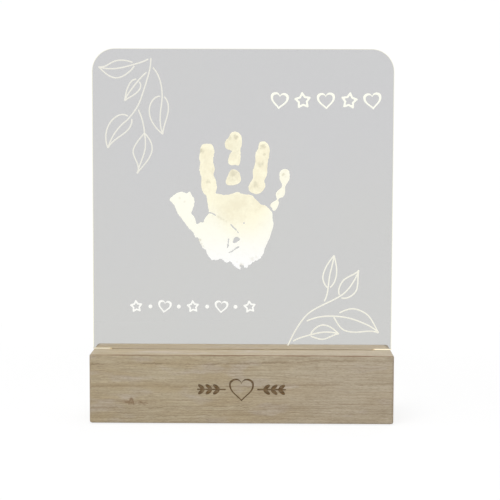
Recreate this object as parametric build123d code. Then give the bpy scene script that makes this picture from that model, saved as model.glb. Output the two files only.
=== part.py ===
from build123d import *
import os
from math import cos, hypot, pi, radians, sin, tan

# A keepsake lamp: a clear acrylic plate with a baby's handprint stands in a slotted wooden base.
# A strip of lights in the slot shines into the plate's lower edge and lights the print and the rim.
# X runs along the base, Y from its front to its back, Z up. The origin is under the middle of the feet.
# Lengths are in millimetres and angles in degrees.

# Wooden base, as long as the plate is wide
base_depth = 52.0
base_height = 45.5
base_corner_round = 2.0
base_edge_round = 1.2
cavity_end_wall = 13.0
cavity_side_wall = 10.0
cavity_corner_round = 4.0

# Acrylic plate: above the wood, and the tongue that goes down into the slot
plate_width = 200.0
plate_shown_height = 200.5
plate_thickness = 5.0
plate_corner_round = 15.0
shoulder_width = 12.0
tongue_length = 15.0
slot_side_play = 0.2
slot_end_play = 0.3

# Lights under the tongue
led_gap = 1.5
led_pitch = 7.0
led_length = 3.5
led_width = 2.8
led_height = 0.7
led_rim = 0.2
led_face_depth = 0.1
leds_per_resistor = 3
resistor_length = 1.6
resistor_width = 0.8
resistor_height = 0.45
led_board_end_gap = 1.0
led_board_margin = 1.5
led_board_width = 5.0
led_board_thickness = 0.8
rail_width = 20.0
rail_thickness = 2.0
rail_end_gap = 3.0
rail_wire_gap = 11.0
rail_screw_inset = 3.5
rail_screw_shares = [0.06, 0.35, 0.65, 0.94]

# Bottom cover, let into the underside
cover_thickness = 3.0
cover_end_ledge = 6.0
cover_side_ledge = 4.0
cover_corner_round = 3.0
cover_play = 0.3
cover_screw_inset = 7.0

# Rubber feet, let into the cover
foot_diameter = 10.0
foot_thickness = 1.5
foot_seat_depth = 0.8
foot_seat_play = 0.2
foot_edge_round = 0.4
foot_end_inset = 22.0
foot_side_inset = 12.0

# Rear panel with the power socket and the button, sunk into the back of the base
panel_center_inset = 48.0
panel_end_rim = 5.5
panel_side_rim = 2.4
panel_thickness = 2.5
panel_corner_round = 3.0
panel_edge_round = 0.4
panel_play = 0.2
panel_sink = 2.5
window_end_play = 1.0
window_side_play = 0.8

# Control board behind the panel, on two posts of the cover
board_width = 33.0
board_length = 16.5
board_thickness = 1.2
board_panel_gap = 0.3
board_corner_round = 0.8
post_diameter = 5.2
post_height = 7.3
post_inset = 3.8

# Power socket
socket_offset = -9.0
socket_width = 8.94
socket_height = 3.26
socket_length = 8.0
socket_wall = 0.3
socket_back_wall = 1.0
socket_face_depth = 0.3
socket_play = 0.2
socket_tongue_width = 6.7
socket_tongue_thickness = 0.7
socket_tongue_length = 6.0
socket_tongue_round_share = 0.25

# Push switch with its plunger, spring and button cap
button_offset = 8.0
button_travel = 1.5
switch_width = 7.0
switch_length = 9.0
switch_height = 7.0
switch_wall = 1.1
switch_stop_gap = 0.3
plunger_width = 3.0
plunger_collar_width = 4.4
plunger_collar_length = 1.2
plunger_play = 0.2
plunger_grip = 3.0
cap_fit = 0.05
cap_diameter = 8.0
cap_collar_diameter = 10.0
cap_collar_thickness = 1.0
cap_collar_gap = 0.4
cap_shown_height = 2.1
cap_edge_round = 0.6
cap_play = 0.3
spring_diameter = 3.4
spring_wire = 0.35
spring_turns = 4.5
spring_seat_gap = 0.05

# Wires from the control board up to the lights
wire_diameter = 0.8
wire_pad_inset = 2.0
wire_switch_gap = 2.5
wire_level_gap = 2.0
wire_slope_rise = 0.5
wire_bend_share = 0.45
wire_side_share = 0.25
outer_wire_share = 0.67
inner_wire_share = 0.33

# Screws: shank, length, head and the cross recess in the head
wood_screw_diameter = 2.2
wood_screw_length = 10.0
wood_screw_head = 4.4
rail_screw_length = 8.0
panel_screw_diameter = 1.8
panel_screw_length = 8.0
panel_screw_head = 3.6
board_screw_diameter = 2.0
board_screw_length = 6.0
board_screw_head = 3.6
screw_fit = 0.05
screw_head_share = 0.34
screw_tip_share = 0.5
screw_point_share = 0.25
screw_recess_width_share = 0.16
screw_recess_span_share = 0.6
screw_recess_depth_share = 0.5

# Prints on the front of the plate
print_thickness = 0.15
line_width = 0.9
hand_square = 100.0
hand_left = -59.5
hand_foot = 49.5
hand_crease_width = 0.8
hand_dot_diameter = 1.3
sprig_square = 100.0

# Rows of small motifs, one high on the right of the plate and one low on the left
upper_motif_size = 12.5
upper_motif_line = 1.3
upper_motif_pitch = 15.4
upper_motif_side_inset = 45.0
upper_motif_top_inset = 34.0
lower_motif_size = 9.5
lower_motif_line = 1.1
lower_motif_pitch = 19.0
lower_motif_side_inset = 67.0
lower_motif_rise = 29.0
lower_dot_diameter = 2.6
upper_motif_tilts = [-6, 5, 3, -7, 6]
lower_motif_tilts = [5, -8, 4, -5, 7]
star_points = 5
star_waist_share = 0.55
star_round_share = 0.05

# Ornament burnt into the front of the base: a heart between two twigs
burn_depth = 0.3
burn_line_width = 1.0
burn_heart_size = 17.0
burn_twig_length = 19.0
burn_twig_gap = 1.8
burn_leaf_length = 5.2
burn_leaf_width = 2.4
burn_leaf_angle = 38
burn_leaf_shares = [0.22, 0.48, 0.74]

# How far every cut runs past the face that it opens
overrun = 1.0

# Heights that several pieces share
foot_stand = foot_thickness - foot_seat_depth
wood_bottom = foot_stand
wood_top = wood_bottom + base_height
slot_depth = tongue_length + led_gap + led_height + led_board_thickness
cavity_top = wood_top - slot_depth
cover_top = wood_bottom + cover_thickness
board_bottom = cover_top + post_height
board_top = board_bottom + board_thickness
socket_z = board_top + socket_height / 2
button_z = board_top + switch_height / 2
window_bottom = board_bottom - window_side_play
window_top = button_z + cap_collar_diameter / 2 + window_side_play
panel_center_z = (window_bottom + window_top) / 2

# Widths and places along the base
base_width = plate_width
base_end = base_width / 2
tongue_width = plate_width - 2 * shoulder_width
cavity_width = base_width - 2 * cavity_end_wall
rebate_width = cavity_width + 2 * cover_end_ledge
cover_screw_x = (cavity_width + rebate_width) / 4
led_board_length = cavity_width - 2 * led_board_end_gap
led_runs = int((led_board_length - 2 * led_board_margin) / (led_pitch * leds_per_resistor))
led_count = led_runs * leds_per_resistor
rail_left = -cavity_width / 2 + rail_end_gap
rail_right = cavity_width / 2 - rail_wire_gap
panel_center_x = base_end - panel_center_inset
window_width = board_width + 2 * window_end_play
panel_width = window_width + 2 * panel_end_rim
panel_height = window_top - window_bottom + 2 * panel_side_rim
socket_x = panel_center_x + socket_offset
button_x = panel_center_x + button_offset

# Depths from the front to the back
base_back = base_depth / 2
cavity_depth = base_depth - 2 * cavity_side_wall
rebate_depth = cavity_depth + 2 * cover_side_ledge
plate_front = -plate_thickness / 2
panel_face = base_back - panel_sink
panel_back = panel_face - panel_thickness
board_back = panel_back - board_panel_gap
board_front = board_back - board_length
socket_mouth = panel_face - socket_face_depth
cap_back = panel_back - cap_collar_gap - cap_collar_thickness
switch_face = cap_back - button_travel - cap_play

# Handprint, as seen from the front, in shares of its square
thumb_shares = [
    (0.287, 0.348), (0.281, 0.375), (0.270, 0.400), (0.253, 0.420), (0.266, 0.455), (0.273, 0.490),
    (0.270, 0.523), (0.255, 0.547), (0.239, 0.564), (0.226, 0.554), (0.210, 0.558), (0.180, 0.563),
    (0.150, 0.550), (0.125, 0.530), (0.109, 0.510), (0.120, 0.495), (0.142, 0.470), (0.152, 0.445),
    (0.165, 0.415), (0.190, 0.385), (0.215, 0.350), (0.245, 0.313), (0.270, 0.287), (0.280, 0.263),
]
heel_shares = [
    (0.297, 0.253), (0.310, 0.223), (0.327, 0.195), (0.352, 0.173), (0.362, 0.140), (0.385, 0.115),
    (0.407, 0.107), (0.440, 0.115), (0.468, 0.108), (0.490, 0.094), (0.513, 0.098), (0.535, 0.082),
    (0.552, 0.062), (0.583, 0.044), (0.582, 0.075), (0.600, 0.073), (0.612, 0.060), (0.645, 0.080),
    (0.670, 0.100), (0.700, 0.113), (0.728, 0.140), (0.740, 0.175), (0.753, 0.210),
]
outer_edge_shares = [
    (0.770, 0.245), (0.783, 0.280), (0.795, 0.320), (0.801, 0.360), (0.796, 0.390), (0.793, 0.425),
    (0.770, 0.455), (0.745, 0.475), (0.720, 0.480), (0.698, 0.500), (0.673, 0.525), (0.652, 0.543),
    (0.620, 0.548), (0.585, 0.555), (0.560, 0.564), (0.535, 0.556), (0.500, 0.548), (0.470, 0.543),
    (0.440, 0.550), (0.416, 0.558),
]
index_finger_shares = [
    (0.422, 0.578), (0.423, 0.610), (0.414, 0.650), (0.401, 0.678), (0.410, 0.715), (0.402, 0.750),
    (0.399, 0.785), (0.406, 0.825), (0.401, 0.860), (0.387, 0.880), (0.360, 0.883), (0.332, 0.879),
    (0.316, 0.860), (0.311, 0.830), (0.307, 0.795), (0.311, 0.760), (0.308, 0.720), (0.313, 0.685),
    (0.322, 0.655), (0.319, 0.620), (0.324, 0.580), (0.338, 0.552), (0.354, 0.536), (0.358, 0.515),
    (0.364, 0.480), (0.367, 0.450), (0.370, 0.422), (0.357, 0.403), (0.342, 0.380), (0.330, 0.361),
    (0.308, 0.359),
]
middle_finger_upper_shares = [
    (0.476, 0.884), (0.484, 0.906), (0.500, 0.925), (0.510, 0.945), (0.528, 0.960), (0.546, 0.964),
    (0.570, 0.955), (0.586, 0.930), (0.590, 0.900), (0.587, 0.870), (0.580, 0.845), (0.581, 0.810),
    (0.578, 0.765), (0.570, 0.743), (0.545, 0.745), (0.520, 0.742), (0.504, 0.751), (0.498, 0.772),
    (0.503, 0.797), (0.512, 0.818), (0.524, 0.833), (0.508, 0.842), (0.482, 0.856),
]
middle_finger_lower_shares = [
    (0.530, 0.715), (0.555, 0.708), (0.575, 0.690), (0.582, 0.665), (0.580, 0.635), (0.564, 0.619),
    (0.538, 0.611), (0.502, 0.608), (0.485, 0.619), (0.486, 0.647), (0.495, 0.670), (0.507, 0.696),
]
ring_finger_shares = [
    (0.702, 0.880), (0.711, 0.895), (0.731, 0.902), (0.752, 0.893), (0.768, 0.873), (0.775, 0.845),
    (0.770, 0.805), (0.762, 0.762), (0.759, 0.720), (0.753, 0.672), (0.741, 0.645), (0.745, 0.615),
    (0.741, 0.588), (0.724, 0.566), (0.703, 0.553), (0.680, 0.552), (0.660, 0.557), (0.642, 0.568),
    (0.634, 0.590), (0.640, 0.615), (0.654, 0.638), (0.664, 0.662), (0.662, 0.690), (0.668, 0.725),
    (0.678, 0.760), (0.678, 0.795), (0.683, 0.827), (0.696, 0.850),
]
little_finger_shares = [
    (0.847, 0.705), (0.865, 0.717), (0.885, 0.718), (0.902, 0.705), (0.908, 0.680), (0.904, 0.645),
    (0.890, 0.620), (0.880, 0.604), (0.877, 0.585), (0.877, 0.555), (0.865, 0.533), (0.845, 0.523),
    (0.833, 0.513), (0.836, 0.495), (0.830, 0.470), (0.812, 0.442), (0.802, 0.441), (0.793, 0.455),
    (0.780, 0.470), (0.785, 0.490), (0.803, 0.502), (0.820, 0.513), (0.820, 0.530), (0.815, 0.550),
    (0.825, 0.570), (0.845, 0.588), (0.857, 0.605), (0.847, 0.635), (0.840, 0.660), (0.840, 0.685),
]
palm_hole_shares = [(0.550, 0.265), (0.570, 0.260), (0.577, 0.252), (0.560, 0.230), (0.535, 0.222)]
palm_dot_share = (0.605, 0.358)
palm_crease_shares = [
    [(0.360, 0.424), (0.392, 0.421), (0.418, 0.405)],
    [(0.515, 0.348), (0.545, 0.318), (0.570, 0.290)],
    [(0.502, 0.253), (0.500, 0.220), (0.494, 0.188)],
    [(0.498, 0.152), (0.530, 0.172), (0.573, 0.199)],
]

# Leaf sprigs, as seen from the front, in shares of their squares. The first list of each sprig has
# its bare stems. Each leaf is its midrib and its two sides, and all three end in the leaf's tip.
upper_sprig_stem_shares = [
    [(0.391, 0.937), (0.387, 0.880), (0.367, 0.800), (0.335, 0.700), (0.305, 0.625), (0.265, 0.565),
     (0.230, 0.525)],
]
upper_sprig_leaf_shares = [
    [[(0.375, 0.930), (0.330, 0.910), (0.280, 0.895), (0.210, 0.876), (0.140, 0.866), (0.045, 0.878)],
     [(0.270, 0.908), (0.230, 0.919), (0.185, 0.922), (0.145, 0.913), (0.100, 0.888), (0.045, 0.878)],
     [(0.282, 0.885), (0.255, 0.853), (0.220, 0.826), (0.180, 0.808), (0.140, 0.809), (0.100, 0.829),
      (0.045, 0.878)]],
    [[(0.362, 0.843), (0.325, 0.808), (0.265, 0.735), (0.240, 0.700), (0.217, 0.655)],
     [(0.295, 0.798), (0.265, 0.786), (0.245, 0.758), (0.230, 0.720), (0.217, 0.655)],
     [(0.315, 0.780), (0.322, 0.745), (0.300, 0.712), (0.270, 0.690), (0.217, 0.655)]],
    [[(0.230, 0.525), (0.180, 0.480), (0.140, 0.425), (0.105, 0.343)],
     [(0.238, 0.553), (0.203, 0.565), (0.160, 0.550), (0.123, 0.515), (0.100, 0.470), (0.091, 0.420),
      (0.105, 0.343)],
     [(0.264, 0.535), (0.260, 0.500), (0.240, 0.466), (0.205, 0.435), (0.160, 0.403), (0.105, 0.343)]],
    [[(0.307, 0.597), (0.325, 0.555), (0.340, 0.500), (0.350, 0.430), (0.352, 0.340), (0.337, 0.285),
      (0.298, 0.175)],
     [(0.345, 0.440), (0.320, 0.410), (0.285, 0.360), (0.272, 0.320), (0.285, 0.275), (0.298, 0.175)],
     [(0.350, 0.440), (0.375, 0.410), (0.393, 0.375), (0.398, 0.335), (0.387, 0.295), (0.355, 0.245),
      (0.298, 0.175)]],
    [[(0.404, 0.875), (0.430, 0.840), (0.450, 0.795), (0.462, 0.740), (0.465, 0.670), (0.455, 0.590),
      (0.452, 0.530), (0.470, 0.435)],
     [(0.453, 0.686), (0.420, 0.676), (0.395, 0.648), (0.380, 0.595), (0.387, 0.545), (0.407, 0.503),
      (0.470, 0.435)],
     [(0.480, 0.683), (0.500, 0.650), (0.507, 0.605), (0.500, 0.560), (0.485, 0.510), (0.470, 0.435)]],
]
lower_sprig_stem_shares = [
    [(0.307, 0.030), (0.325, 0.070), (0.350, 0.120), (0.390, 0.185), (0.435, 0.240), (0.500, 0.285),
     (0.570, 0.320), (0.650, 0.363)],
]
lower_sprig_leaf_shares = [
    [[(0.548, 0.330), (0.565, 0.370), (0.573, 0.415), (0.585, 0.510), (0.598, 0.565), (0.612, 0.638)],
     [(0.568, 0.422), (0.548, 0.450), (0.538, 0.490), (0.548, 0.535), (0.570, 0.580), (0.612, 0.638)],
     [(0.586, 0.423), (0.610, 0.450), (0.625, 0.490), (0.630, 0.530), (0.625, 0.580), (0.612, 0.638)]],
    [[(0.650, 0.363), (0.700, 0.403), (0.735, 0.450), (0.758, 0.490), (0.778, 0.540)],
     [(0.649, 0.373), (0.645, 0.405), (0.658, 0.445), (0.685, 0.480), (0.720, 0.500), (0.778, 0.540)],
     [(0.663, 0.354), (0.695, 0.352), (0.730, 0.368), (0.760, 0.400), (0.770, 0.435), (0.778, 0.540)]],
    [[(0.432, 0.196), (0.480, 0.215), (0.530, 0.226), (0.600, 0.230), (0.670, 0.225), (0.730, 0.213),
      (0.800, 0.188), (0.860, 0.160), (0.914, 0.118)],
     [(0.650, 0.252), (0.690, 0.270), (0.740, 0.280), (0.790, 0.268), (0.840, 0.238), (0.875, 0.190),
      (0.914, 0.118)],
     [(0.613, 0.223), (0.640, 0.178), (0.675, 0.140), (0.720, 0.125), (0.780, 0.123), (0.840, 0.129),
      (0.914, 0.118)]],
    [[(0.342, 0.060), (0.390, 0.083), (0.455, 0.102), (0.510, 0.116), (0.570, 0.122), (0.648, 0.110)],
     [(0.460, 0.110), (0.490, 0.147), (0.530, 0.168), (0.570, 0.165), (0.610, 0.143), (0.648, 0.110)],
     [(0.460, 0.093), (0.500, 0.080), (0.545, 0.074), (0.585, 0.088), (0.648, 0.110)]],
]

# Right half of a heart, from its tip round to its dip, in shares of its size
heart_reach_share = 0.4
heart_half_shares = [(0.0, -0.46), (0.26, -0.21), (0.46, 0.06), (0.45, 0.31), (0.25, 0.42), (0.0, 0.24)]


def block(low, high):
    """A box between two opposite corners."""
    low, high = Vector(*low), Vector(*high)
    size = high - low
    return Pos((low + high) / 2) * Box(size.X, size.Y, size.Z)


def front_prism(drawing, start, end):
    """The solid between two depths of a drawing made as seen from the front."""
    plane = Plane(origin=(0, start, 0), x_dir=(1, 0, 0), z_dir=(0, -1, 0))
    return extrude(plane * drawing, end - start, dir=(0, 1, 0))


def ring_of_edges(solid):
    """The edges round the top and the bottom of an upright solid."""
    levels = solid.edges().group_by(Axis.Z)
    return levels[0] + levels[-1]


def cross_recess(head_diameter, head_height):
    """The cross that a driver turns, cut down into a screw head whose top is at zero."""
    span = head_diameter * screw_recess_span_share
    width = head_diameter * screw_recess_width_share
    depth = head_height * screw_recess_depth_share
    bar = Box(span, width, 2 * depth)
    return bar + Rot(Z=90) * bar


def screw(diameter, length, head_diameter, countersunk):
    """A screw that points down, with its face at zero if it is countersunk and its head above if not."""
    head_height = head_diameter * screw_head_share
    tip = diameter * screw_tip_share
    shank = Pos(0, 0, -(length - tip) / 2) * Cylinder(diameter / 2, length - tip)
    point = Pos(0, 0, -length + tip / 2) * Cone(diameter / 2 * screw_point_share, diameter / 2, tip)
    if countersunk:
        head = Pos(0, 0, -head_height / 2) * Cone(diameter / 2, head_diameter / 2, head_height)
        recess = cross_recess(head_diameter, head_height)
    else:
        head = Pos(0, 0, head_height / 2) * Cylinder(head_diameter / 2, head_height)
        head = fillet(head.edges().group_by(Axis.Z)[-1], head_height / 2)
        recess = Pos(0, 0, head_height) * cross_recess(head_diameter, head_height)
    return head + shank + point - recess


def pilot(diameter, length):
    """The hole that a downward screw goes in, with room to be driven."""
    return Pos(0, 0, -length / 2) * Cylinder(diameter / 2 + screw_fit, length + 2 * screw_fit)


def countersink(diameter, head_diameter, length):
    """The seat of a countersunk screw whose face is at zero, through a sheet of the given thickness."""
    head_height = head_diameter * screw_head_share
    radius = diameter / 2 + screw_fit
    rim = head_diameter / 2 + screw_fit
    seat = Pos(0, 0, -head_height / 2) * Cone(radius, rim, head_height)
    through = Pos(0, 0, -length / 2) * Cylinder(radius, length + 2 * overrun)
    return seat + through


def cover_screw_places():
    """The places of the cover's screws, whose faces look down."""
    y = rebate_depth / 2 - cover_screw_inset
    spots = [(side * cover_screw_x, depth * y) for side in (-1, 1) for depth in (-1, 1)]
    return [Pos(*spot, wood_bottom) * Rot(X=180) for spot in spots]


def rail_screw_places():
    """The places of the rail's screws, which are driven up from below on alternate sides of the lights."""
    places = []
    y = rail_width / 2 - rail_screw_inset
    for share in rail_screw_shares:
        x = rail_left + (rail_right - rail_left) * share
        places.append(Pos(x, y, cavity_top - rail_thickness) * Rot(X=180))
        y = -y
    return places


def panel_screw_places():
    """The places of the panel's screws, whose faces look to the back."""
    reach = (window_width + panel_end_rim) / 2
    return [
        Pos(panel_center_x + side * reach, panel_face, panel_center_z) * Rot(X=-90)
        for side in (-1, 1)
    ]


def post_places():
    """The places where the board's screws go down into the cover's posts, at its end and its middle."""
    first_x = panel_center_x - board_width / 2 + post_inset
    return [Pos(x, board_front + post_inset, board_top) for x in (first_x, panel_center_x)]


def foot_places():
    """The middle of each foot's underside, by the foot's name."""
    x = base_end - foot_end_inset
    y = base_back - foot_side_inset
    return {
        f"foot_{depth_name}_{side_name}": Pos(side * x, depth * y, 0)
        for depth_name, depth in (("front", -1), ("back", 1))
        for side_name, side in (("left", -1), ("right", 1))
    }


def group(shape, places):
    """Like solids at several places, as one node."""
    return Compound(children=[place * shape for place in places])


def heart(size):
    """A heart, drawn about its middle."""
    points = [(size * u, size * v) for u, v in heart_half_shares]
    half = make_face(Spline(*points) + Line(points[-1], points[0]))
    return half + mirror(half, Plane.YZ)


def star(size):
    """A star with soft points, drawn about its middle."""
    radius = size / 2
    waist = radius * star_waist_share
    step = pi / star_points
    corners = []
    for number in range(2 * star_points):
        reach = waist if number % 2 else radius
        corners.append((reach * sin(number * step), reach * cos(number * step)))
    shape = make_face(Polyline(*corners, close=True))
    return fillet(shape.vertices(), size * star_round_share)


def star_side_reach(size):
    """How far the sides of a star lie from its middle."""
    radius = size / 2
    waist = radius * star_waist_share
    step = pi / star_points
    side = hypot(radius - waist * cos(step), waist * sin(step))
    return radius * waist * sin(step) / side


def outlined(shape, reach, width):
    """The outline of a shape whose sides lie at the given reach from its middle."""
    return shape - scale(shape, by=(reach - width) / reach)


def heart_outline(size, width):
    """A heart drawn as one line."""
    return outlined(heart(size), size * heart_reach_share, width)


def star_outline(size, width):
    """A star drawn as one line."""
    return outlined(star(size), star_side_reach(size), width)


def twig_leaf(side, turn):
    """One leaf of a burnt twig that runs to the given side, with its root at zero."""
    leaf = Pos(side * burn_leaf_length / 2, 0) * Ellipse(burn_leaf_length / 2, burn_leaf_width / 2)
    return Rot(Z=turn * burn_leaf_angle) * leaf


def burnt_ornament():
    """A heart between two twigs, drawn about the middle of the heart."""
    drawing = heart_outline(burn_heart_size, burn_line_width)
    twig_start = burn_heart_size / 2 + burn_twig_gap
    for side in (-1, 1):
        middle = side * (twig_start + burn_twig_length / 2)
        drawing += Pos(middle, 0) * SlotOverall(burn_twig_length, burn_line_width)
        for share in burn_leaf_shares:
            root = side * (twig_start + burn_twig_length * share)
            for turn in (-1, 1):
                drawing += Pos(root, 0) * twig_leaf(side, turn)
    return drawing


def base_block():
    """The solid wooden base with its slot, its hollow underside and the pocket for the rear panel."""
    outline = RectangleRounded(base_width, base_depth, base_corner_round)
    body = Pos(0, 0, wood_bottom) * extrude(outline, base_height)
    body = fillet(ring_of_edges(body), base_edge_round)
    slot_reach = tongue_width / 2 + slot_end_play
    slot_half = plate_thickness / 2 + slot_side_play
    body -= block((-slot_reach, -slot_half, cavity_top), (slot_reach, slot_half, wood_top + overrun))
    cavity = RectangleRounded(cavity_width, cavity_depth, cavity_corner_round)
    body -= Pos(0, 0, wood_bottom - overrun) * extrude(cavity, cavity_top - wood_bottom + overrun)
    rebate = RectangleRounded(rebate_width, rebate_depth, cover_corner_round)
    body -= Pos(0, 0, wood_bottom - overrun) * extrude(rebate, cover_thickness + overrun)
    pocket = RectangleRounded(
        panel_width + 2 * panel_play, panel_height + 2 * panel_play, panel_corner_round + panel_play
    )
    body -= front_prism(Pos(panel_center_x, panel_center_z) * pocket, panel_back, base_back + overrun)
    window = Pos(panel_center_x, panel_center_z) * Rectangle(window_width, window_top - window_bottom)
    body -= front_prism(window, cavity_depth / 2 - overrun, panel_back + overrun)
    for place in cover_screw_places():
        body -= place * pilot(wood_screw_diameter, wood_screw_length)
    for place in rail_screw_places():
        body -= place * pilot(wood_screw_diameter, rail_screw_length)
    for place in panel_screw_places():
        body -= place * pilot(panel_screw_diameter, panel_screw_length)
    ornament = Pos(0, wood_bottom + base_height / 2) * burnt_ornament()
    body -= front_prism(ornament, -base_back - overrun, -base_back + burn_depth)
    return body


def bottom_cover():
    """The cover let into the underside, with seats for the feet and posts for the control board."""
    width = rebate_width - 2 * cover_play
    depth = rebate_depth - 2 * cover_play
    sheet = extrude(RectangleRounded(width, depth, cover_corner_round - cover_play), cover_thickness)
    cover = Pos(0, 0, wood_bottom) * sheet
    for place in post_places():
        spot = place.position
        cover += Pos(spot.X, spot.Y, cover_top + post_height / 2) * Cylinder(post_diameter / 2, post_height)
        cover -= place * pilot(board_screw_diameter, board_screw_length)
    for place in cover_screw_places():
        cover -= place * countersink(wood_screw_diameter, wood_screw_head, cover_thickness)
    seat_radius = foot_diameter / 2 + foot_seat_play
    for place in foot_places().values():
        seat_depth = foot_seat_depth + overrun
        seat_low = wood_bottom - overrun
        cover -= place * Pos(0, 0, seat_low + seat_depth / 2) * Cylinder(seat_radius, seat_depth)
    return cover


def rubber_foot():
    """A round foot with a soft lower edge."""
    foot = Pos(0, 0, foot_thickness / 2) * Cylinder(foot_diameter / 2, foot_thickness)
    return fillet(foot.edges().group_by(Axis.Z)[0], foot_edge_round)


def led_rail():
    """The flat aluminium bar that carries the lights against the roof of the hollow."""
    low = (rail_left, -rail_width / 2, cavity_top - rail_thickness)
    high = (rail_right, rail_width / 2, cavity_top)
    rail = block(low, high)
    for place in rail_screw_places():
        rail -= place * pilot(wood_screw_diameter, rail_screw_length)
    return rail


def led_board():
    """The narrow circuit strip in the bottom of the slot."""
    low = (-led_board_length / 2, -led_board_width / 2, cavity_top)
    high = (led_board_length / 2, led_board_width / 2, cavity_top + led_board_thickness)
    return block(low, high)


def led_place_x(number):
    """The place of a light along the strip, counted from its left end."""
    return (number - (led_count - 1) / 2) * led_pitch


def led_chips():
    """The lights on the strip, each a white cup with a sunk glowing face."""
    chip = Box(led_length, led_width, led_height)
    face = Box(led_length - 2 * led_rim, led_width - 2 * led_rim, 2 * led_face_depth)
    chip -= Pos(0, 0, led_height / 2) * face
    level = cavity_top + led_board_thickness + led_height / 2
    return group(chip, [Pos(led_place_x(number), 0, level) for number in range(led_count)])


def strip_resistors():
    """The small resistors between the lights, one for each run of them."""
    level = cavity_top + led_board_thickness + resistor_height / 2
    places = [
        Pos(led_place_x(number) + led_pitch / 2, 0, level)
        for number in range(0, led_count, leds_per_resistor)
    ]
    return group(Box(resistor_length, resistor_width, resistor_height), places)


def rear_panel():
    """The small panel in the back of the base, round the power socket and the button."""
    shape = RectangleRounded(panel_width, panel_height, panel_corner_round)
    panel = front_prism(Pos(panel_center_x, panel_center_z) * shape, panel_back, panel_face)
    panel = fillet(panel.faces().sort_by(Axis.Y)[-1].edges(), panel_edge_round)
    mouth = SlotOverall(socket_width + 2 * socket_play, socket_height + 2 * socket_play)
    panel -= front_prism(Pos(socket_x, socket_z) * mouth, panel_back - overrun, panel_face + overrun)
    hole = Circle(cap_diameter / 2 + cap_play)
    panel -= front_prism(Pos(button_x, button_z) * hole, panel_back - overrun, panel_face + overrun)
    for place in panel_screw_places():
        panel -= place * countersink(panel_screw_diameter, panel_screw_head, panel_thickness)
    return panel


def control_board():
    """The circuit board that carries the power socket and the switch, cut back behind the button."""
    shape = RectangleRounded(board_width, board_length, board_corner_round)
    center_y = (board_front + board_back) / 2
    board = Pos(panel_center_x, center_y, board_bottom) * extrude(shape, board_thickness)
    notch_left = button_x - cap_collar_diameter / 2 - cap_play
    notch_right = panel_center_x + board_width / 2 + overrun
    low = (notch_left, switch_face, board_bottom - overrun)
    high = (notch_right, board_back + overrun, board_top + overrun)
    board -= block(low, high)
    for place in post_places():
        board -= place * pilot(board_screw_diameter, board_screw_length)
    return board


def socket_shell():
    """The metal shell of the power socket, open to the back of the base."""
    place = Pos(socket_x, socket_z)
    outer = place * SlotOverall(socket_width, socket_height)
    inner = place * SlotOverall(socket_width - 2 * socket_wall, socket_height - 2 * socket_wall)
    start = socket_mouth - socket_length
    shell = front_prism(outer, start, socket_mouth)
    return shell - front_prism(inner, start + socket_back_wall, socket_mouth + overrun)


def socket_tongue():
    """The tongue in the middle of the power socket."""
    start = socket_mouth - socket_length + socket_back_wall
    corner_round = socket_tongue_thickness * socket_tongue_round_share
    shape = RectangleRounded(socket_tongue_width, socket_tongue_thickness, corner_round)
    return front_prism(Pos(socket_x, socket_z) * shape, start, start + socket_tongue_length)


def switch_body():
    """The case of the push switch, hollow for the plunger's collar and the spring."""
    place = Pos(button_x, button_z)
    start = switch_face - switch_length
    case = front_prism(place * Rectangle(switch_width, switch_height), start, switch_face)
    hollow_width = plunger_collar_width + 2 * plunger_play
    hollow = place * Rectangle(hollow_width, hollow_width)
    case -= front_prism(hollow, start + switch_wall, switch_face - switch_wall)
    hole_width = plunger_width + 2 * plunger_play
    hole = place * Rectangle(hole_width, hole_width)
    return case - front_prism(hole, switch_face - switch_wall - overrun, switch_face + overrun)


def collar_front():
    """The depth of the plunger collar's face towards the spring, with the button out."""
    return switch_face - switch_wall - switch_stop_gap - plunger_collar_length


def switch_plunger():
    """The square plunger, with the collar that keeps it in its case."""
    place = Pos(button_x, button_z)
    collar = place * Rectangle(plunger_collar_width, plunger_collar_width)
    start = collar_front()
    stem = place * Rectangle(plunger_width, plunger_width)
    plunger = front_prism(collar, start, start + plunger_collar_length)
    return plunger + front_prism(stem, start, cap_back + plunger_grip)


def switch_spring():
    """The coil spring that pushes the plunger out, one unbroken wire."""
    start = switch_face - switch_length + switch_wall + spring_seat_gap + spring_wire / 2
    end = collar_front() - spring_seat_gap - spring_wire / 2
    rise = end - start
    radius = (spring_diameter - spring_wire) / 2
    coil = Helix(rise / spring_turns, rise, radius, center=(button_x, start, button_z), direction=(0, 1, 0))
    print("switch spring, gap between turns:", round(rise / spring_turns - spring_wire, 2), "mm")
    return sweep(Plane(coil @ 0, z_dir=coil % 0) * Circle(spring_wire / 2), path=coil)


def button_cap():
    """The round cap on the plunger, with the collar that keeps it behind the panel."""
    place = Pos(button_x, button_z)
    face = panel_face + cap_shown_height
    cap = front_prism(place * Circle(cap_diameter / 2), cap_back, face)
    cap = fillet(cap.faces().sort_by(Axis.Y)[-1].edges(), cap_edge_round)
    cap += front_prism(place * Circle(cap_collar_diameter / 2), cap_back, cap_back + cap_collar_thickness)
    socket_side = plunger_width + 2 * cap_fit
    grip = place * Rectangle(socket_side, socket_side)
    return cap - front_prism(grip, cap_back - overrun, cap_back + plunger_grip + cap_fit)


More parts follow.
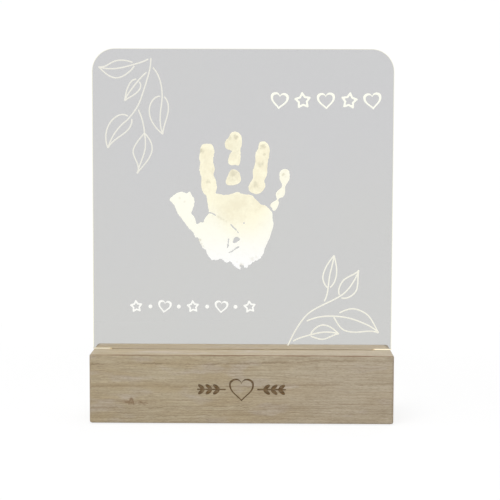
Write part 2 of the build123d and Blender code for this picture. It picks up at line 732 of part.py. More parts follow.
def wire_routes():
    """The points of each wire, from its pad on the control board up to the end of the light strip."""
    pad_y = board_front + wire_pad_inset
    strip_z = cavity_top
    free_height = strip_z - board_top
    bare_end = led_board_length / 2 - rail_right
    outer_x = rail_right + bare_end * outer_wire_share
    inner_x = rail_right + bare_end * inner_wire_share
    side_y = led_board_width * wire_side_share
    outer_pad_x = button_x + switch_width / 2 + wire_switch_gap
    inner_pad_x = button_x
    outer_level = board_top + free_height / 2
    inner_level = outer_level - wire_level_gap
    positive = [
        (outer_pad_x, pad_y, board_top), (outer_pad_x, pad_y, outer_level),
        (outer_x, side_y, outer_level + wire_slope_rise), (outer_x, side_y, strip_z),
    ]
    negative = [
        (inner_pad_x, pad_y, board_top), (inner_pad_x, pad_y, inner_level),
        (inner_x, -side_y, inner_level + wire_slope_rise), (inner_x, -side_y, strip_z),
    ]
    return {"wire_positive": positive, "wire_negative": negative}


def wire(name, points):
    """A round wire along straight runs joined by the largest arcs that they allow."""
    corners = [Vector(*point) for point in points]
    runs = [after - before for before, after in zip(corners, corners[1:])]
    radii = []
    for first, second in zip(runs, runs[1:]):
        half_turn = radians(first.get_angle(second)) / 2
        radii.append(wire_bend_share * min(first.length, second.length) / tan(half_turn))
    path = FilletPolyline(*corners, radius=radii)
    section = Circle(wire_diameter / 2)
    solid = sweep(Plane(path @ 0, z_dir=path % 0) * section, path=path)
    share = solid.volume / (section.area * path.length)
    rounded = [round(radius, 2) for radius in radii]
    print(name, "length", round(path.length, 1), "radii", rounded, "volume share", round(share, 4))
    return solid


def acrylic_plate():
    """The clear plate: rounded above, with two shoulders on the wood and a tongue in the slot."""
    body = Pos(0, wood_top + plate_shown_height / 2) * Rectangle(plate_width, plate_shown_height)
    body = fillet(body.vertices().group_by(Axis.Y)[-1], plate_corner_round)
    tongue = Pos(0, wood_top - tongue_length / 2) * Rectangle(tongue_width, tongue_length)
    return front_prism(body + tongue, plate_front, -plate_front)


def on_plate(drawing):
    """A print of the given drawing on the front of the plate."""
    return front_prism(drawing, plate_front - print_thickness, plate_front)


def placed(shares, square, left, foot):
    """Points given as shares of a square, whose lower left corner is at the given place on the plate."""
    return [(left + square * u, wood_top + foot + square * v) for u, v in shares]


def blot(shares):
    """A closed soft-edged patch of the handprint."""
    points = placed(shares, hand_square, hand_left, hand_foot)
    return make_face(Spline(*points, periodic=True))


def hand_print():
    """The print of a baby's hand, in patches as the skin touched the ink."""
    palm = blot(thumb_shares + heel_shares + outer_edge_shares + index_finger_shares)
    palm -= blot(palm_hole_shares)
    dot_x, dot_z = placed([palm_dot_share], hand_square, hand_left, hand_foot)[0]
    palm -= Pos(dot_x, dot_z) * Circle(hand_dot_diameter / 2)
    for crease in palm_crease_shares:
        points = placed(crease, hand_square, hand_left, hand_foot)
        palm -= trace(Spline(*points), line_width=hand_crease_width)
    patches = [
        palm, blot(middle_finger_upper_shares), blot(middle_finger_lower_shares),
        blot(ring_finger_shares), blot(little_finger_shares),
    ]
    return Compound(children=[solid for patch in patches for solid in on_plate(patch).solids()])


def sprig(stems, leaves, left, foot):
    """A sprig of open leaves, drawn in thin lines."""
    drawing = Sketch()
    for line in stems + [line for leaf_lines in leaves for line in leaf_lines]:
        points = placed(line, sprig_square, left, foot)
        drawing += trace(Spline(*points), line_width=line_width)
    return on_plate(drawing)


def upper_sprig():
    """The sprig that hangs from the upper left corner."""
    left = -plate_width / 2
    foot = plate_shown_height - sprig_square
    return sprig(upper_sprig_stem_shares, upper_sprig_leaf_shares, left, foot)


def lower_sprig():
    """The sprig that grows from the foot of the plate on the right."""
    return sprig(lower_sprig_stem_shares, lower_sprig_leaf_shares, plate_width / 2 - sprig_square, 0)


def upper_motifs():
    """A row of outlined hearts and stars."""
    drawing = Sketch()
    middle = (len(upper_motif_tilts) - 1) / 2
    for number, tilt in enumerate(upper_motif_tilts):
        motif = star_outline if number % 2 else heart_outline
        x = plate_width / 2 - upper_motif_side_inset + (number - middle) * upper_motif_pitch
        place = Pos(x, wood_top + plate_shown_height - upper_motif_top_inset) * Rot(Z=tilt)
        drawing += place * motif(upper_motif_size, upper_motif_line)
    return on_plate(drawing)


def lower_motifs():
    """A row of small outlined stars and hearts with a dot between each two."""
    drawing = Sketch()
    middle = (len(lower_motif_tilts) - 1) / 2
    for number, tilt in enumerate(lower_motif_tilts):
        motif = heart_outline if number % 2 else star_outline
        x = lower_motif_side_inset - plate_width / 2 + (number - middle) * lower_motif_pitch
        level = wood_top + lower_motif_rise
        drawing += Pos(x, level) * Rot(Z=tilt) * motif(lower_motif_size, lower_motif_line)
        if number < len(lower_motif_tilts) - 1:
            drawing += Pos(x + lower_motif_pitch / 2, level) * Circle(lower_dot_diameter / 2)
    return on_plate(drawing)


def all_pieces():
    """Every piece of the lamp by the name of its node."""
    cover_screw = screw(wood_screw_diameter, wood_screw_length, wood_screw_head, True)
    rail_screw = screw(wood_screw_diameter, rail_screw_length, wood_screw_head, False)
    panel_screw = screw(panel_screw_diameter, panel_screw_length, panel_screw_head, True)
    board_screw = screw(board_screw_diameter, board_screw_length, board_screw_head, False)
    pieces = {
        "base_block": base_block(),
        "bottom_cover": bottom_cover(),
        "cover_screws": group(cover_screw, cover_screw_places()),
        "led_rail": led_rail(),
        "rail_screws": group(rail_screw, rail_screw_places()),
        "led_board": led_board(),
        "led_chips": led_chips(),
        "strip_resistors": strip_resistors(),
        "rear_panel": rear_panel(),
        "panel_screws": group(panel_screw, panel_screw_places()),
        "control_board": control_board(),
        "board_screws": group(board_screw, post_places()),
        "socket_shell": socket_shell(),
        "socket_tongue": socket_tongue(),
        "switch_body": switch_body(),
        "switch_plunger": switch_plunger(),
        "switch_spring": switch_spring(),
        "button_cap": button_cap(),
        "acrylic_plate": acrylic_plate(),
        "hand_print": hand_print(),
        "upper_sprig": upper_sprig(),
        "lower_sprig": lower_sprig(),
        "upper_motifs": upper_motifs(),
        "lower_motifs": lower_motifs(),
    }
    for name, place in foot_places().items():
        pieces[name] = place * rubber_foot()
    for name, points in wire_routes().items():
        pieces[name] = wire(name, points)
    return pieces


os.makedirs("parts", exist_ok=True)
for name, shape in all_pieces().items():
    export_step(shape, f"parts/{name}.step")
    print(name, len(shape.solids()), "solids")
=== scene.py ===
from math import ceil, cos, hypot, pi, radians, sin

import bpy
import numpy as np
from bpy.props import FloatProperty, FloatVectorProperty, PointerProperty
from mathutils import Matrix, Vector, noise
from mathutils.kdtree import KDTree


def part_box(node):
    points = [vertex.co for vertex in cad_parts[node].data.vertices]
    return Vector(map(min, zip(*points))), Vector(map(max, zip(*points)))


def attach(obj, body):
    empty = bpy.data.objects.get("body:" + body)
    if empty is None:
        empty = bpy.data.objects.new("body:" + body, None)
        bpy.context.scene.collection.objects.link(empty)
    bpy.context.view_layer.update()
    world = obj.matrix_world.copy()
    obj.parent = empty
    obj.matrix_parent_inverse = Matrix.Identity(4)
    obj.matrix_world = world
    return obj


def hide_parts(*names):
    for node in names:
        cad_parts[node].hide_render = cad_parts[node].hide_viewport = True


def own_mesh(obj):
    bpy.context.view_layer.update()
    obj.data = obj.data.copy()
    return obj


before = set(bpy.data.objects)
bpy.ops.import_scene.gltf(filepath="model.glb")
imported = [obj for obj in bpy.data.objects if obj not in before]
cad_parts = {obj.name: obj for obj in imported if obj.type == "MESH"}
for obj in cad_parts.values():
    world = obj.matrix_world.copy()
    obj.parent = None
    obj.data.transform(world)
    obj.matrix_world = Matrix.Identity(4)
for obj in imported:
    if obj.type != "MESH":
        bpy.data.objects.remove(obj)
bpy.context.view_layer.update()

# Looks of an edge-lit handprint lamp: a clear plate with a baby's handprint stands in a wooden base.
# Metres, in the frame of the packed model: X along the base, Y from front to back, Z up. Materials
# and prints are worked out in millimetres.

bl_info = {
    "name": "Handprint Lamp",
    "version": (1, 0, 0),
    "blender": (4, 5, 0),
    "location": "View3D > Sidebar > Handprint Lamp",
    "description": "Finishes an edge-lit handprint lamp: wood, acrylic, lit ink and fittings",
    "category": "Object",
}

MM = 0.001
BASE_LOW, BASE_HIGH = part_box("base_block")
PLATE_LOW, PLATE_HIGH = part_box("acrylic_plate")
WOOD_TOP = BASE_HIGH.z
WOOD_TOP_MM = WOOD_TOP / MM


def screen(red, green, blue):
    """A linear colour from the 0 to 255 numbers that a screen shows."""
    shares = [channel / 255 for channel in (red, green, blue)]
    return tuple(s / 12.92 if s <= 0.04045 else ((s + 0.055) / 1.055) ** 2.4 for s in shares)


def colour(name, default, description):
    """A colour that a user can change, given here as a screen shows it."""
    return FloatVectorProperty(
        name=name, description=description, subtype="COLOR", size=3, min=0.0, max=1.0,
        default=screen(*default),
    )


def length(name, default, description):
    """A length that a user can change, given here in millimetres."""
    return FloatProperty(
        name=name, description=description, unit="LENGTH", precision=5, default=default * MM
    )


def share(name, default, description, most=1.0):
    """A share or strength that a user can change."""
    return FloatProperty(
        name=name, description=description, subtype="FACTOR", min=0.0, max=most, default=default
    )


class WoodSettings(bpy.types.PropertyGroup):
    """The plank that the base is cut from."""

    pale: colour("Pale wood", (191, 178, 152), "The open wood between the grain lines")
    warm: colour("Warm wood", (184, 168, 138), "Patches of warmer wood")
    rosy: colour("Rosy wood", (193, 181, 166), "Patches of greyer wood")
    grain: colour("Grain line", (126, 106, 76), "The dense line that ends each ring")
    pore: colour("Pore", (120, 104, 80), "Short dashes along the fibre")
    burn: colour("Burnt ornament", (110, 80, 38), "The scorched floor of the ornament")
    waviness: length("Waviness", 2.6, "How far the grain wanders from a straight line")
    line_strength: share("Line strength", 1.0, "How dark the grain lines are", most=2.0)
    pore_strength: share("Pore strength", 0.5, "How dark the pores are")
    relief: share("Relief", 0.35, "How deep the grain is felt")


class PlateSettings(bpy.types.PropertyGroup):
    """The clear plate and its lit edges."""

    tint_high: colour("Upper tint", (203, 203, 204), "What the plate lets through at its top")
    tint_low: colour("Lower tint", (204, 204, 202), "What the plate lets through at its foot")
    painted_foot_light_tint: colour("Painted foot light", (243, 241, 236), "What the foot lets through, paler as painted light")
    glow: colour("Edge glow", (253, 250, 228), "The light that leaves the edges low on the plate")
    glow_high: colour("High edge glow", (246, 243, 226), "The light that leaves the upper edges")
    glow_strength: share("Edge glow strength", 1.0, "How bright the edges are", most=10.0)
    corner_round: length("Corner radius", 15.0, "Radius of the upper corners")
    shoulder: length("Shoulder", 12.0, "How far the plate overhangs its tongue at each end")
    seat_glow: colour("Seat glow", (224, 214, 188), "The light that leaves the shoulders' undersides")
    chamfer: length("Edge chamfer", 0.15, "Width of the polished chamfer round the faces")
    painted_foot_light_height: length("Painted lit foot", 3.5, "Height of the brighter foot of the plate")
    seat_gap: length("Seat gap", 0.25, "Air between the shoulders and the wood")
    seat_band: length("Seat band", 0.4, "Height of the lit band at the foot of the shoulders")


class InkSettings(bpy.types.PropertyGroup):
    """The white print on the front of the plate."""

    near: colour("Near the lights", (255, 255, 255), "Print low on the plate")
    middle: colour("Halfway up", (255, 254, 240), "Print halfway up the plate, outside its cream part")
    far: colour("Far from the lights", (255, 250, 224), "Print high on the plate")
    faded: colour("Faded ink", (247, 240, 213), "Cloudy patches of the handprint")
    thin: colour("Thin ink", (214, 208, 184), "Where the ink is worn thin")
    line: colour("Low lines", (246, 244, 231), "Thin lines low on the plate")
    line_far: colour("High lines", (235, 233, 223), "Thin lines high on the plate")
    motif: colour("Low motifs", (255, 255, 250), "Motifs low on the plate")
    motif_far: colour("High motifs", (255, 255, 242), "Motifs high on the plate")
    lit_share: share("Lit share", 0.72, "How much of the print's brightness comes from the lamp's own light")
    ragged: length("Ragged edge", 0.3, "How far the edge of the handprint wanders")
    hand_pitch: length("Handprint grid", 0.4, "Spacing of the handprint's mesh")
    line_pitch: length("Line grid", 0.2, "Spacing of the lines' mesh")


class FittingSettings(bpy.types.PropertyGroup):
    """The panel, socket, switch, boards, screws and feet."""

    dark_plastic: colour("Dark plastic", (46, 45, 44), "Panel and bottom cover")
    switch_plastic: colour("Switch plastic", (226, 224, 218), "Case and plunger of the switch")
    button: colour("Button", (214, 212, 207), "Cap of the push button")
    rubber: colour("Rubber", (52, 51, 50), "Feet")
    steel: colour("Steel", (203, 202, 198), "Screws and spring")
    board: colour("Board", (32, 96, 58), "Control board")
    phosphor: colour("Light face", (255, 226, 150), "Face of each light")
    phosphor_strength: share("Light strength", 2.5, "How bright the lights are", most=50.0)


class StageSettings(bpy.types.PropertyGroup):
    """Floor, lamps and camera."""

    focal_pixels: FloatProperty(
        name="Focal length in pixels", description="Focal length of the view in pixels of the picture",
        default=1473.0
    )
    camera_place: FloatVectorProperty(
        name="Camera", description="Where the camera stands", subtype="XYZ", unit="LENGTH", size=3,
        default=(13.6 * MM, -982 * MM, 196.5 * MM)
    )
    pitch: FloatProperty(
        name="Pitch", description="How far the camera looks down", subtype="ANGLE", default=radians(4.848)
    )
    turn: FloatProperty(
        name="Turn", description="How far the camera looks to its left", subtype="ANGLE",
        default=radians(0.5)
    )
    roll: FloatProperty(
        name="Roll", description="How far the camera is rolled", subtype="ANGLE", default=radians(0.2)
    )
    ambient: share("Ambient light", 0.39, "Level of the light from all round", most=5.0)
    key_power: FloatProperty(
        name="Key lamp", description="Power of the large lamp above", unit="POWER", default=10.8
    )
    fill_power: FloatProperty(
        name="Fill lamp", description="Power of each side lamp", unit="POWER", default=1.2
    )
    back_power: FloatProperty(
        name="Back lamp", description="Power of the lamp behind", unit="POWER", default=4.0
    )


# Shader nodes

def put(node, inputs):
    """Sets the inputs of a node to values or links them to outputs."""
    for key, value in inputs.items():
        socket = node.inputs[key]
        if isinstance(value, bpy.types.NodeSocket):
            node.id_data.links.new(value, socket)
        elif socket.type == "RGBA" and len(value) == 3:
            socket.default_value = (*value, 1.0)
        else:
            socket.default_value = value


def add(tree, kind, inputs=None, output=0, **settings):
    """Adds a node and returns one of its outputs."""
    node = tree.nodes.new(kind)
    for key, value in settings.items():
        setattr(node, key, value)
    put(node, inputs or {})
    return node.outputs[output]


def maths(tree, operation, *values):
    """One step of arithmetic on numbers."""
    return add(tree, "ShaderNodeMath", dict(enumerate(values)), operation=operation)


def times(tree, first, *others):
    """The product of several numbers."""
    for other in others:
        first = maths(tree, "MULTIPLY", first, other)
    return first


def away_from(tree, value, middle=0.0):
    """How far a number is from the middle, on either side."""
    return maths(tree, "ABSOLUTE", maths(tree, "SUBTRACT", value, middle))


def rise(tree, value, low, high, start=0.0, end=1.0):
    """Goes smoothly from start to end while the value goes from low to high."""
    inputs = {"Value": value, "From Min": low, "From Max": high, "To Min": start, "To Max": end}
    return add(tree, "ShaderNodeMapRange", inputs, interpolation_type="SMOOTHSTEP")


def mixed(tree, factor, first, second):
    """A blend of two colours."""
    node = tree.nodes.new("ShaderNodeMix")
    node.data_type = "RGBA"
    put(node, {0: factor, 6: first, 7: second})
    return node.outputs[2]


def layered(tree, tone, layers):
    """A colour with others laid over it, each as far as its mask goes."""
    for mask, cover in layers:
        tone = mixed(tree, mask, tone, cover)
    return tone


def vectors(tree, operation, first, second):
    """One step of arithmetic on vectors or colours."""
    return add(tree, "ShaderNodeVectorMath", {0: first, 1: second}, operation=operation)


def scaled(tree, vector, factor):
    """A vector or colour times a number."""
    return add(tree, "ShaderNodeVectorMath", {0: vector, "Scale": factor}, operation="SCALE")


def stretched(tree, vector, sizes):
    """The vector in units of the given sizes along X, Y and Z."""
    return vectors(tree, "MULTIPLY", vector, tuple(1 / size for size in sizes))


def length_of(tree, vector):
    """The length of a vector."""
    return add(tree, "ShaderNodeVectorMath", {0: vector}, "Value", operation="LENGTH")


def split(tree, vector):
    """The three parts of a vector."""
    node = tree.nodes.new("ShaderNodeSeparateXYZ")
    put(node, {0: vector})
    return node.outputs["X"], node.outputs["Y"], node.outputs["Z"]


def joined(tree, x, y, z):
    """A vector from its three parts."""
    return add(tree, "ShaderNodeCombineXYZ", {"X": x, "Y": y, "Z": z})


def place_in_mm(tree):
    """Where the surface point lies on the resting lamp, in millimetres."""
    return scaled(tree, add(tree, "ShaderNodeTexCoord", output="Object"), 1 / MM)


def facing(tree):
    """The direction that the surface faces."""
    return add(tree, "ShaderNodeNewGeometry", output="Normal")


def cloud(tree, vector, scale=1.0, detail=2.0, roughness=0.5, output="Fac"):
    """Soft noise."""
    inputs = {"Vector": vector, "Scale": scale, "Detail": detail, "Roughness": roughness}
    return add(tree, "ShaderNodeTexNoise", inputs, output)


DUST = screen(190, 184, 172)
MADE_GROUPS = {}
SOCKETS = {"value": "NodeSocketFloat", "vector": "NodeSocketVector", "colour": "NodeSocketColor"}


def new_group(name, inputs, outputs):
    """An empty node group with named inputs and outputs, and its two end nodes."""
    tree = bpy.data.node_groups.new(name, "ShaderNodeTree")
    for label, (kind, default) in inputs.items():
        socket = tree.interface.new_socket(name=label, in_out="INPUT", socket_type=SOCKETS[kind])
        if default is not None:
            socket.default_value = default
    for label, kind in outputs.items():
        tree.interface.new_socket(name=label, in_out="OUTPUT", socket_type=SOCKETS[kind])
    return tree, tree.nodes.new("NodeGroupInput").outputs, tree.nodes.new("NodeGroupOutput")


def fibre_group():
    """Noise drawn out along X, as in wood fibre or drawn and brushed metal."""
    tree, given, result = new_group(
        "Fibre",
        {"Vector": ("vector", None), "Length": ("value", 10.0), "Width": ("value", 0.5),
         "Detail": ("value", 2.0), "Shift": ("value", 0.0)},
        {"Value": "value"},
    )
    along = maths(tree, "DIVIDE", 1.0, given["Length"])
    across = maths(tree, "DIVIDE", 1.0, given["Width"])
    drawn_out = vectors(tree, "MULTIPLY", given["Vector"], joined(tree, along, across, across))
    shift = joined(tree, given["Shift"], given["Shift"], given["Shift"])
    put(result, {"Value": cloud(tree, vectors(tree, "ADD", drawn_out, shift), detail=given["Detail"])})
    return tree


def skin_group():
    """Small changes of colour, gloss and height that every moulded, plated or painted surface has."""
    tree, given, result = new_group(
        "Fine skin",
        {"Vector": ("vector", None), "Color": ("colour", (0.5, 0.5, 0.5, 1.0)), "Size": ("value", 1.0),
         "Change": ("value", 0.08), "Roughness": ("value", 0.5), "Roughness Change": ("value", 0.08)},
        {"Color": "colour", "Roughness": "value", "Height": "value"},
    )
    scale = maths(tree, "DIVIDE", 1.0, given["Size"])
    fine = cloud(tree, given["Vector"], scale, detail=4.0, roughness=0.6)
    broad = cloud(tree, given["Vector"], times(tree, scale, 0.12))
    centred = maths(tree, "SUBTRACT", maths(tree, "ADD", fine, broad), 1.0)
    brighter = maths(tree, "MULTIPLY_ADD", centred, given["Change"], 1.0)
    grey = joined(tree, brighter, brighter, brighter)
    put(result, {
        "Color": vectors(tree, "MULTIPLY", given["Color"], grey),
        "Roughness": maths(tree, "MULTIPLY_ADD", centred, given["Roughness Change"], given["Roughness"]),
        "Height": fine,
    })
    return tree


def dust_group():
    """Where dust settles: on faces that look up, in soft patches."""
    tree, given, result = new_group(
        "Settled dust",
        {"Vector": ("vector", None), "Normal": ("vector", None), "Amount": ("value", 0.2)},
        {"Mask": "value"},
    )
    upward = rise(tree, split(tree, given["Normal"])[2], 0.4, 0.95)
    patches = rise(tree, cloud(tree, given["Vector"], 0.4, detail=5.0, roughness=0.7), 0.35, 0.7)
    put(result, {"Mask": times(tree, upward, patches, given["Amount"])})
    return tree


def grouped(tree, make_group, inputs):
    """Places a shared node group, which is made at its first use, and returns its outputs."""
    if make_group not in MADE_GROUPS:
        MADE_GROUPS[make_group] = make_group()
    node = tree.nodes.new("ShaderNodeGroup")
    node.node_tree = MADE_GROUPS[make_group]
    put(node, inputs)
    return node.outputs


def fibre(tree, vector, size_along, size_across, detail=2.0, shift=0.0):
    """Noise drawn out along X."""
    inputs = {"Vector": vector, "Length": size_along, "Width": size_across, "Detail": detail, "Shift": shift}
    return grouped(tree, fibre_group, inputs)["Value"]


def fine_skin(tree, place, tone, size, change, roughness):
    """The colour, roughness and height of a surface with fine specks of the given size."""
    skin = grouped(tree, skin_group, {
        "Vector": place, "Color": tone, "Size": size, "Change": change, "Roughness": roughness,
    })
    return skin["Color"], skin["Roughness"], skin["Height"]


def emptied(owner):
    """The node tree of a material or world, with nothing in it."""
    owner.use_nodes = True
    owner.node_tree.nodes.clear()
    return owner.node_tree


def new_material(name):
    """A material, its node tree, its Principled shader and the place of a point on it."""
    material = bpy.data.materials.new(name)
    tree = emptied(material)
    shader = tree.nodes.new("ShaderNodeBsdfPrincipled")
    put(tree.nodes.new("ShaderNodeOutputMaterial"), {"Surface": shader.outputs["BSDF"]})
    return material, tree, shader, place_in_mm(tree)


def bumped(tree, height, depth, strength=1.0):
    """A normal that follows a height of the given depth in millimetres."""
    inputs = {"Height": height, "Distance": depth * MM, "Strength": strength}
    return add(tree, "ShaderNodeBump", inputs, "Normal")


def skinned(name, tone, roughness, size, depth, change=0.08, metallic=0.0, dust=0.0):
    """A moulded, plated or painted material with fine skin and a little dust."""
    material, tree, shader, place = new_material(name)
    surface, gloss, height = fine_skin(tree, place, tone, size, change, roughness)
    if dust:
        settled = {"Vector": place, "Normal": facing(tree), "Amount": dust}
        mask = grouped(tree, dust_group, settled)["Mask"]
        surface = mixed(tree, mask, surface, DUST)
        gloss = maths(tree, "ADD", gloss, mask)
    put(shader, {
        "Base Color": surface, "Roughness": gloss, "Metallic": metallic,
        "Normal": bumped(tree, height, depth),
    })
    return material


def drawn_metal(name, tone, roughness, line_width):
    """Metal with fine lines along X from drawing or brushing."""
    material, tree, shader, place = new_material(name)
    lines = fibre(tree, place, 40 * line_width, line_width, detail=3.0)
    surface, gloss, _ = fine_skin(tree, place, tone, 3.0, 0.12, roughness)
    put(shader, {
        "Base Color": surface, "Roughness": maths(tree, "MULTIPLY_ADD", lines, 0.12, gloss),
        "Metallic": 1.0, "Normal": bumped(tree, lines, 0.01),
    })
    return material


# Wood

FRONT = BASE_LOW.y / MM
MIDDLE_HEIGHT = (BASE_LOW.z + BASE_HIGH.z) / 2 / MM

# How the level in the rings changes with each millimetre to the right and to the back
LEVEL_TO_RIGHT = -0.017
LEVEL_TO_BACK = 0.6

# Grain lines: level in the wood in millimetres, width and darkness
GRAIN_LINES = [
    (2.7, 0.5, 0.5), (4.4, 0.4, 0.5), (6.4, 0.5, 0.7), (7.8, 0.35, 0.5), (9.4, 0.5, 0.7), (10.9, 0.4, 0.5),
    (12.4, 0.5, 0.75), (16.5, 0.5, 0.4), (21.4, 0.5, 0.2), (26.3, 1.1, 0.55), (33.2, 0.5, 0.2),
    (37.2, 0.4, 0.2), (41.3, 0.8, 0.8), (46.6, 0.5, 0.5), (49.0, 0.5, 0.35), (52.2, 0.6, 0.6),
    (55.4, 0.4, 0.3), (58.6, 0.7, 0.6), (61.1, 0.4, 0.3), (63.5, 0.5, 0.55), (66.8, 0.4, 0.35),
    (69.4, 0.6, 0.5), (72.0, 0.4, 0.3), (74.6, 0.5, 0.5),
]

# The knot: its place across and up the front, and the width and height of its arch, in millimetres
KNOT_PLACE = (-72.4, 13.0)
KNOT_ARCH = (1.7, 4.4)

# Half the width and height of the part of the front that holds the ornament, in millimetres
ORNAMENT_HALF = (42.0, 12.0)

KNOT_TONE = screen(124, 98, 70)
END_GRAIN_TONES = screen(176, 156, 126), screen(134, 112, 84)
# Colour of the painted shade just below the upper front edge
EDGE_SHADE_TONE = screen(116, 88, 62)
CHARRED = screen(66, 44, 22)


def wandering(tree, place, waviness):
    """The place in the wood after the grain's slow and quick bends."""
    slow = cloud(tree, stretched(tree, place, (80.0, 30.0, 30.0)), detail=1.0, output="Color")
    quick = cloud(tree, stretched(tree, place, (14.0, 7.0, 7.0)), detail=3.0, output="Color")
    bends = place
    for bend, reach in ((slow, waviness), (quick, waviness * 0.24)):
        centred = vectors(tree, "SUBTRACT", bend, (0.5, 0.5, 0.5))
        across = vectors(tree, "MULTIPLY", centred, (0.0, 2 * reach, 2 * reach))
        bends = vectors(tree, "ADD", bends, across)
    return bends


def grain_level(tree, place):
    """How far up through the rings of the plank a point lies, in millimetres."""
    x, y, z = split(tree, place)
    leaned = maths(tree, "MULTIPLY_ADD", maths(tree, "SUBTRACT", y, FRONT), LEVEL_TO_BACK, z)
    return maths(tree, "MULTIPLY_ADD", x, LEVEL_TO_RIGHT, leaned)


def grain_line_group():
    """One dark grain line with a soft shade above it, broken and paler in places."""
    tree, given, result = new_group(
        "Grain line",
        {"Vector": ("vector", None), "Level": ("value", 0.0), "Height": ("value", 0.0),
         "Width": ("value", 0.5), "Darkness": ("value", 0.5)},
        {"Value": "value"},
    )
    x, _, _ = split(tree, given["Vector"])
    flutter = cloud(tree, joined(tree, maths(tree, "DIVIDE", x, 2.4), given["Height"], 0.0))
    level = maths(tree, "MULTIPLY_ADD", maths(tree, "SUBTRACT", flutter, 0.5), 2.0, given["Level"])
    above = maths(tree, "SUBTRACT", level, given["Height"])
    core = rise(tree, away_from(tree, above), given["Width"], 0.0)
    shade = times(tree, rise(tree, above, 3.2, 0.0), maths(tree, "GREATER_THAN", above, 0.0))
    along = joined(tree, maths(tree, "DIVIDE", x, 13.0), given["Height"], 0.0)
    breaks = rise(tree, cloud(tree, along, detail=4.0, roughness=0.7), 0.34, 0.6, 0.15, 1.0)
    both = maths(tree, "MULTIPLY_ADD", shade, 0.22, core)
    put(result, {"Value": times(tree, both, breaks, given["Darkness"])})
    return tree


def grain_lines(tree, place):
    """All grain lines together."""
    level = grain_level(tree, place)
    total = 0.0
    for height, width, darkness in GRAIN_LINES:
        line = grouped(tree, grain_line_group, {
            "Vector": place, "Level": level, "Height": height, "Width": width, "Darkness": darkness,
        })["Value"]
        total = maths(tree, "MAXIMUM", total, line)
    return total


def knot_marks(tree, place):
    """A small pin knot in the front: a dark arch and a smear along the grain."""
    x, y, z = split(tree, place)
    across = maths(tree, "SUBTRACT", x, KNOT_PLACE[0])
    up = maths(tree, "SUBTRACT", z, KNOT_PLACE[1])
    arch_x = maths(tree, "DIVIDE", across, KNOT_ARCH[0])
    arch_z = maths(tree, "DIVIDE", maths(tree, "ADD", up, 1.0), KNOT_ARCH[1])
    off_arch = away_from(tree, length_of(tree, joined(tree, arch_x, arch_z, 0.0)), 1.0)
    arch = times(tree, rise(tree, off_arch, 0.38, 0.08), rise(tree, up, -0.6, 0.4), 0.75)
    smear_x = rise(tree, away_from(tree, across, 3.0), 15.0, 5.0)
    smear_z = rise(tree, away_from(tree, up, 1.4), 2.3, 0.3)
    patchy = rise(tree, cloud(tree, stretched(tree, place, (2.5, 1.0, 0.7)), detail=3.0), 0.35, 0.65)
    smear = times(tree, smear_x, smear_z, patchy, 0.75)
    on_front = rise(tree, y, FRONT + 2.0, FRONT + 0.5)
    return times(tree, maths(tree, "MAXIMUM", arch, smear), on_front)


def burnt_mask(tree, place):
    """The sunk floor and walls of the ornament in the front of the base."""
    x, y, z = split(tree, place)
    sunk = rise(tree, y, FRONT + 0.02, FRONT + 0.12)
    near_front = maths(tree, "LESS_THAN", y, FRONT + 1.0)
    within_width = maths(tree, "LESS_THAN", away_from(tree, x), ORNAMENT_HALF[0])
    within_height = maths(tree, "LESS_THAN", away_from(tree, z, MIDDLE_HEIGHT), ORNAMENT_HALF[1])
    return times(tree, sunk, near_front, within_width, within_height)


def wood_marks(tree, place, wavy, look):
    """The marks that the grain makes: its lines, streaks, fine fibres and pores."""
    fade = rise(tree, split(tree, place)[0], 0.0, 50.0, 1.0, 0.7)
    lines = times(tree, grain_lines(tree, wavy), look.line_strength, fade)
    streaks = fibre(tree, wavy, 40.0, 0.9, detail=4.0)
    fine = fibre(tree, wavy, 11.0, 0.33, detail=3.0, shift=7.3)
    pores = rise(tree, fibre(tree, wavy, 3.4, 0.24, detail=1.0, shift=3.1), 0.6, 0.72)
    return lines, streaks, fine, pores


def planed_tone(tree, place, wavy, look, marks):
    """The colour of the planed faces, with patches, grain and the knot."""
    lines, streaks, fine, pores = marks
    patches = rise(tree, cloud(tree, stretched(tree, wavy, (45.0, 8.0, 8.0))), 0.35, 0.68)
    rosy = rise(tree, cloud(tree, stretched(tree, wavy, (30.0, 9.0, 9.0)), output="Color"), 0.5, 0.62)
    # The wood turns greyer towards the right end of the base
    to_right = rise(tree, split(tree, place)[0], -30.0, 70.0, 0.0, 0.4)
    flecks = cloud(tree, stretched(tree, wavy, (1.7, 0.6, 0.6)))
    return layered(tree, mixed(tree, patches, look.pale, look.warm), [
        (maths(tree, "MAXIMUM", times(tree, rosy, 0.7), to_right), look.rosy),
        (times(tree, lines, 0.75), look.grain),
        (rise(tree, streaks, 0.3, 0.72, 0.0, 0.3), look.grain),
        (rise(tree, fine, 0.35, 0.7, 0.0, 0.26), look.pore),
        (times(tree, pores, look.pore_strength), look.pore),
        (rise(tree, flecks, 0.38, 0.66, 0.0, 0.15), look.pore),
        (knot_marks(tree, wavy), KNOT_TONE),
    ])


def end_grain(tree, place, look, lines):
    """Where the cut ends of the plank are, and their speckled colour."""
    speckle = rise(tree, cloud(tree, place, 2.2, detail=5.0, roughness=0.7), 0.3, 0.75)
    tone = mixed(tree, speckle, *END_GRAIN_TONES)
    tone = mixed(tree, times(tree, lines, 0.6), tone, look.grain)
    sideways = away_from(tree, split(tree, facing(tree))[0])
    return rise(tree, sideways, 0.6, 0.95, 0.0, 0.75), tone


def painted_edge_shade(tree, place, streaks):
    """Painted shade: a dark line just below the rounded upper front edge, where the edge turns from the top
    to the front, broken by the streaks and fainter at its ends.
    """
    x, y, z = split(tree, place)
    off_line = away_from(tree, z, WOOD_TOP_MM - 0.4)
    broken = rise(tree, streaks, 0.25, 0.6, 0.35, 0.95)
    on_front = rise(tree, y, FRONT + 1.0, FRONT + 0.7)
    fainter = rise(tree, away_from(tree, x), 80.0, 92.0, 1.0, 0.45)
    return times(tree, rise(tree, off_line, 0.4, 0.1), broken, on_front, fainter)


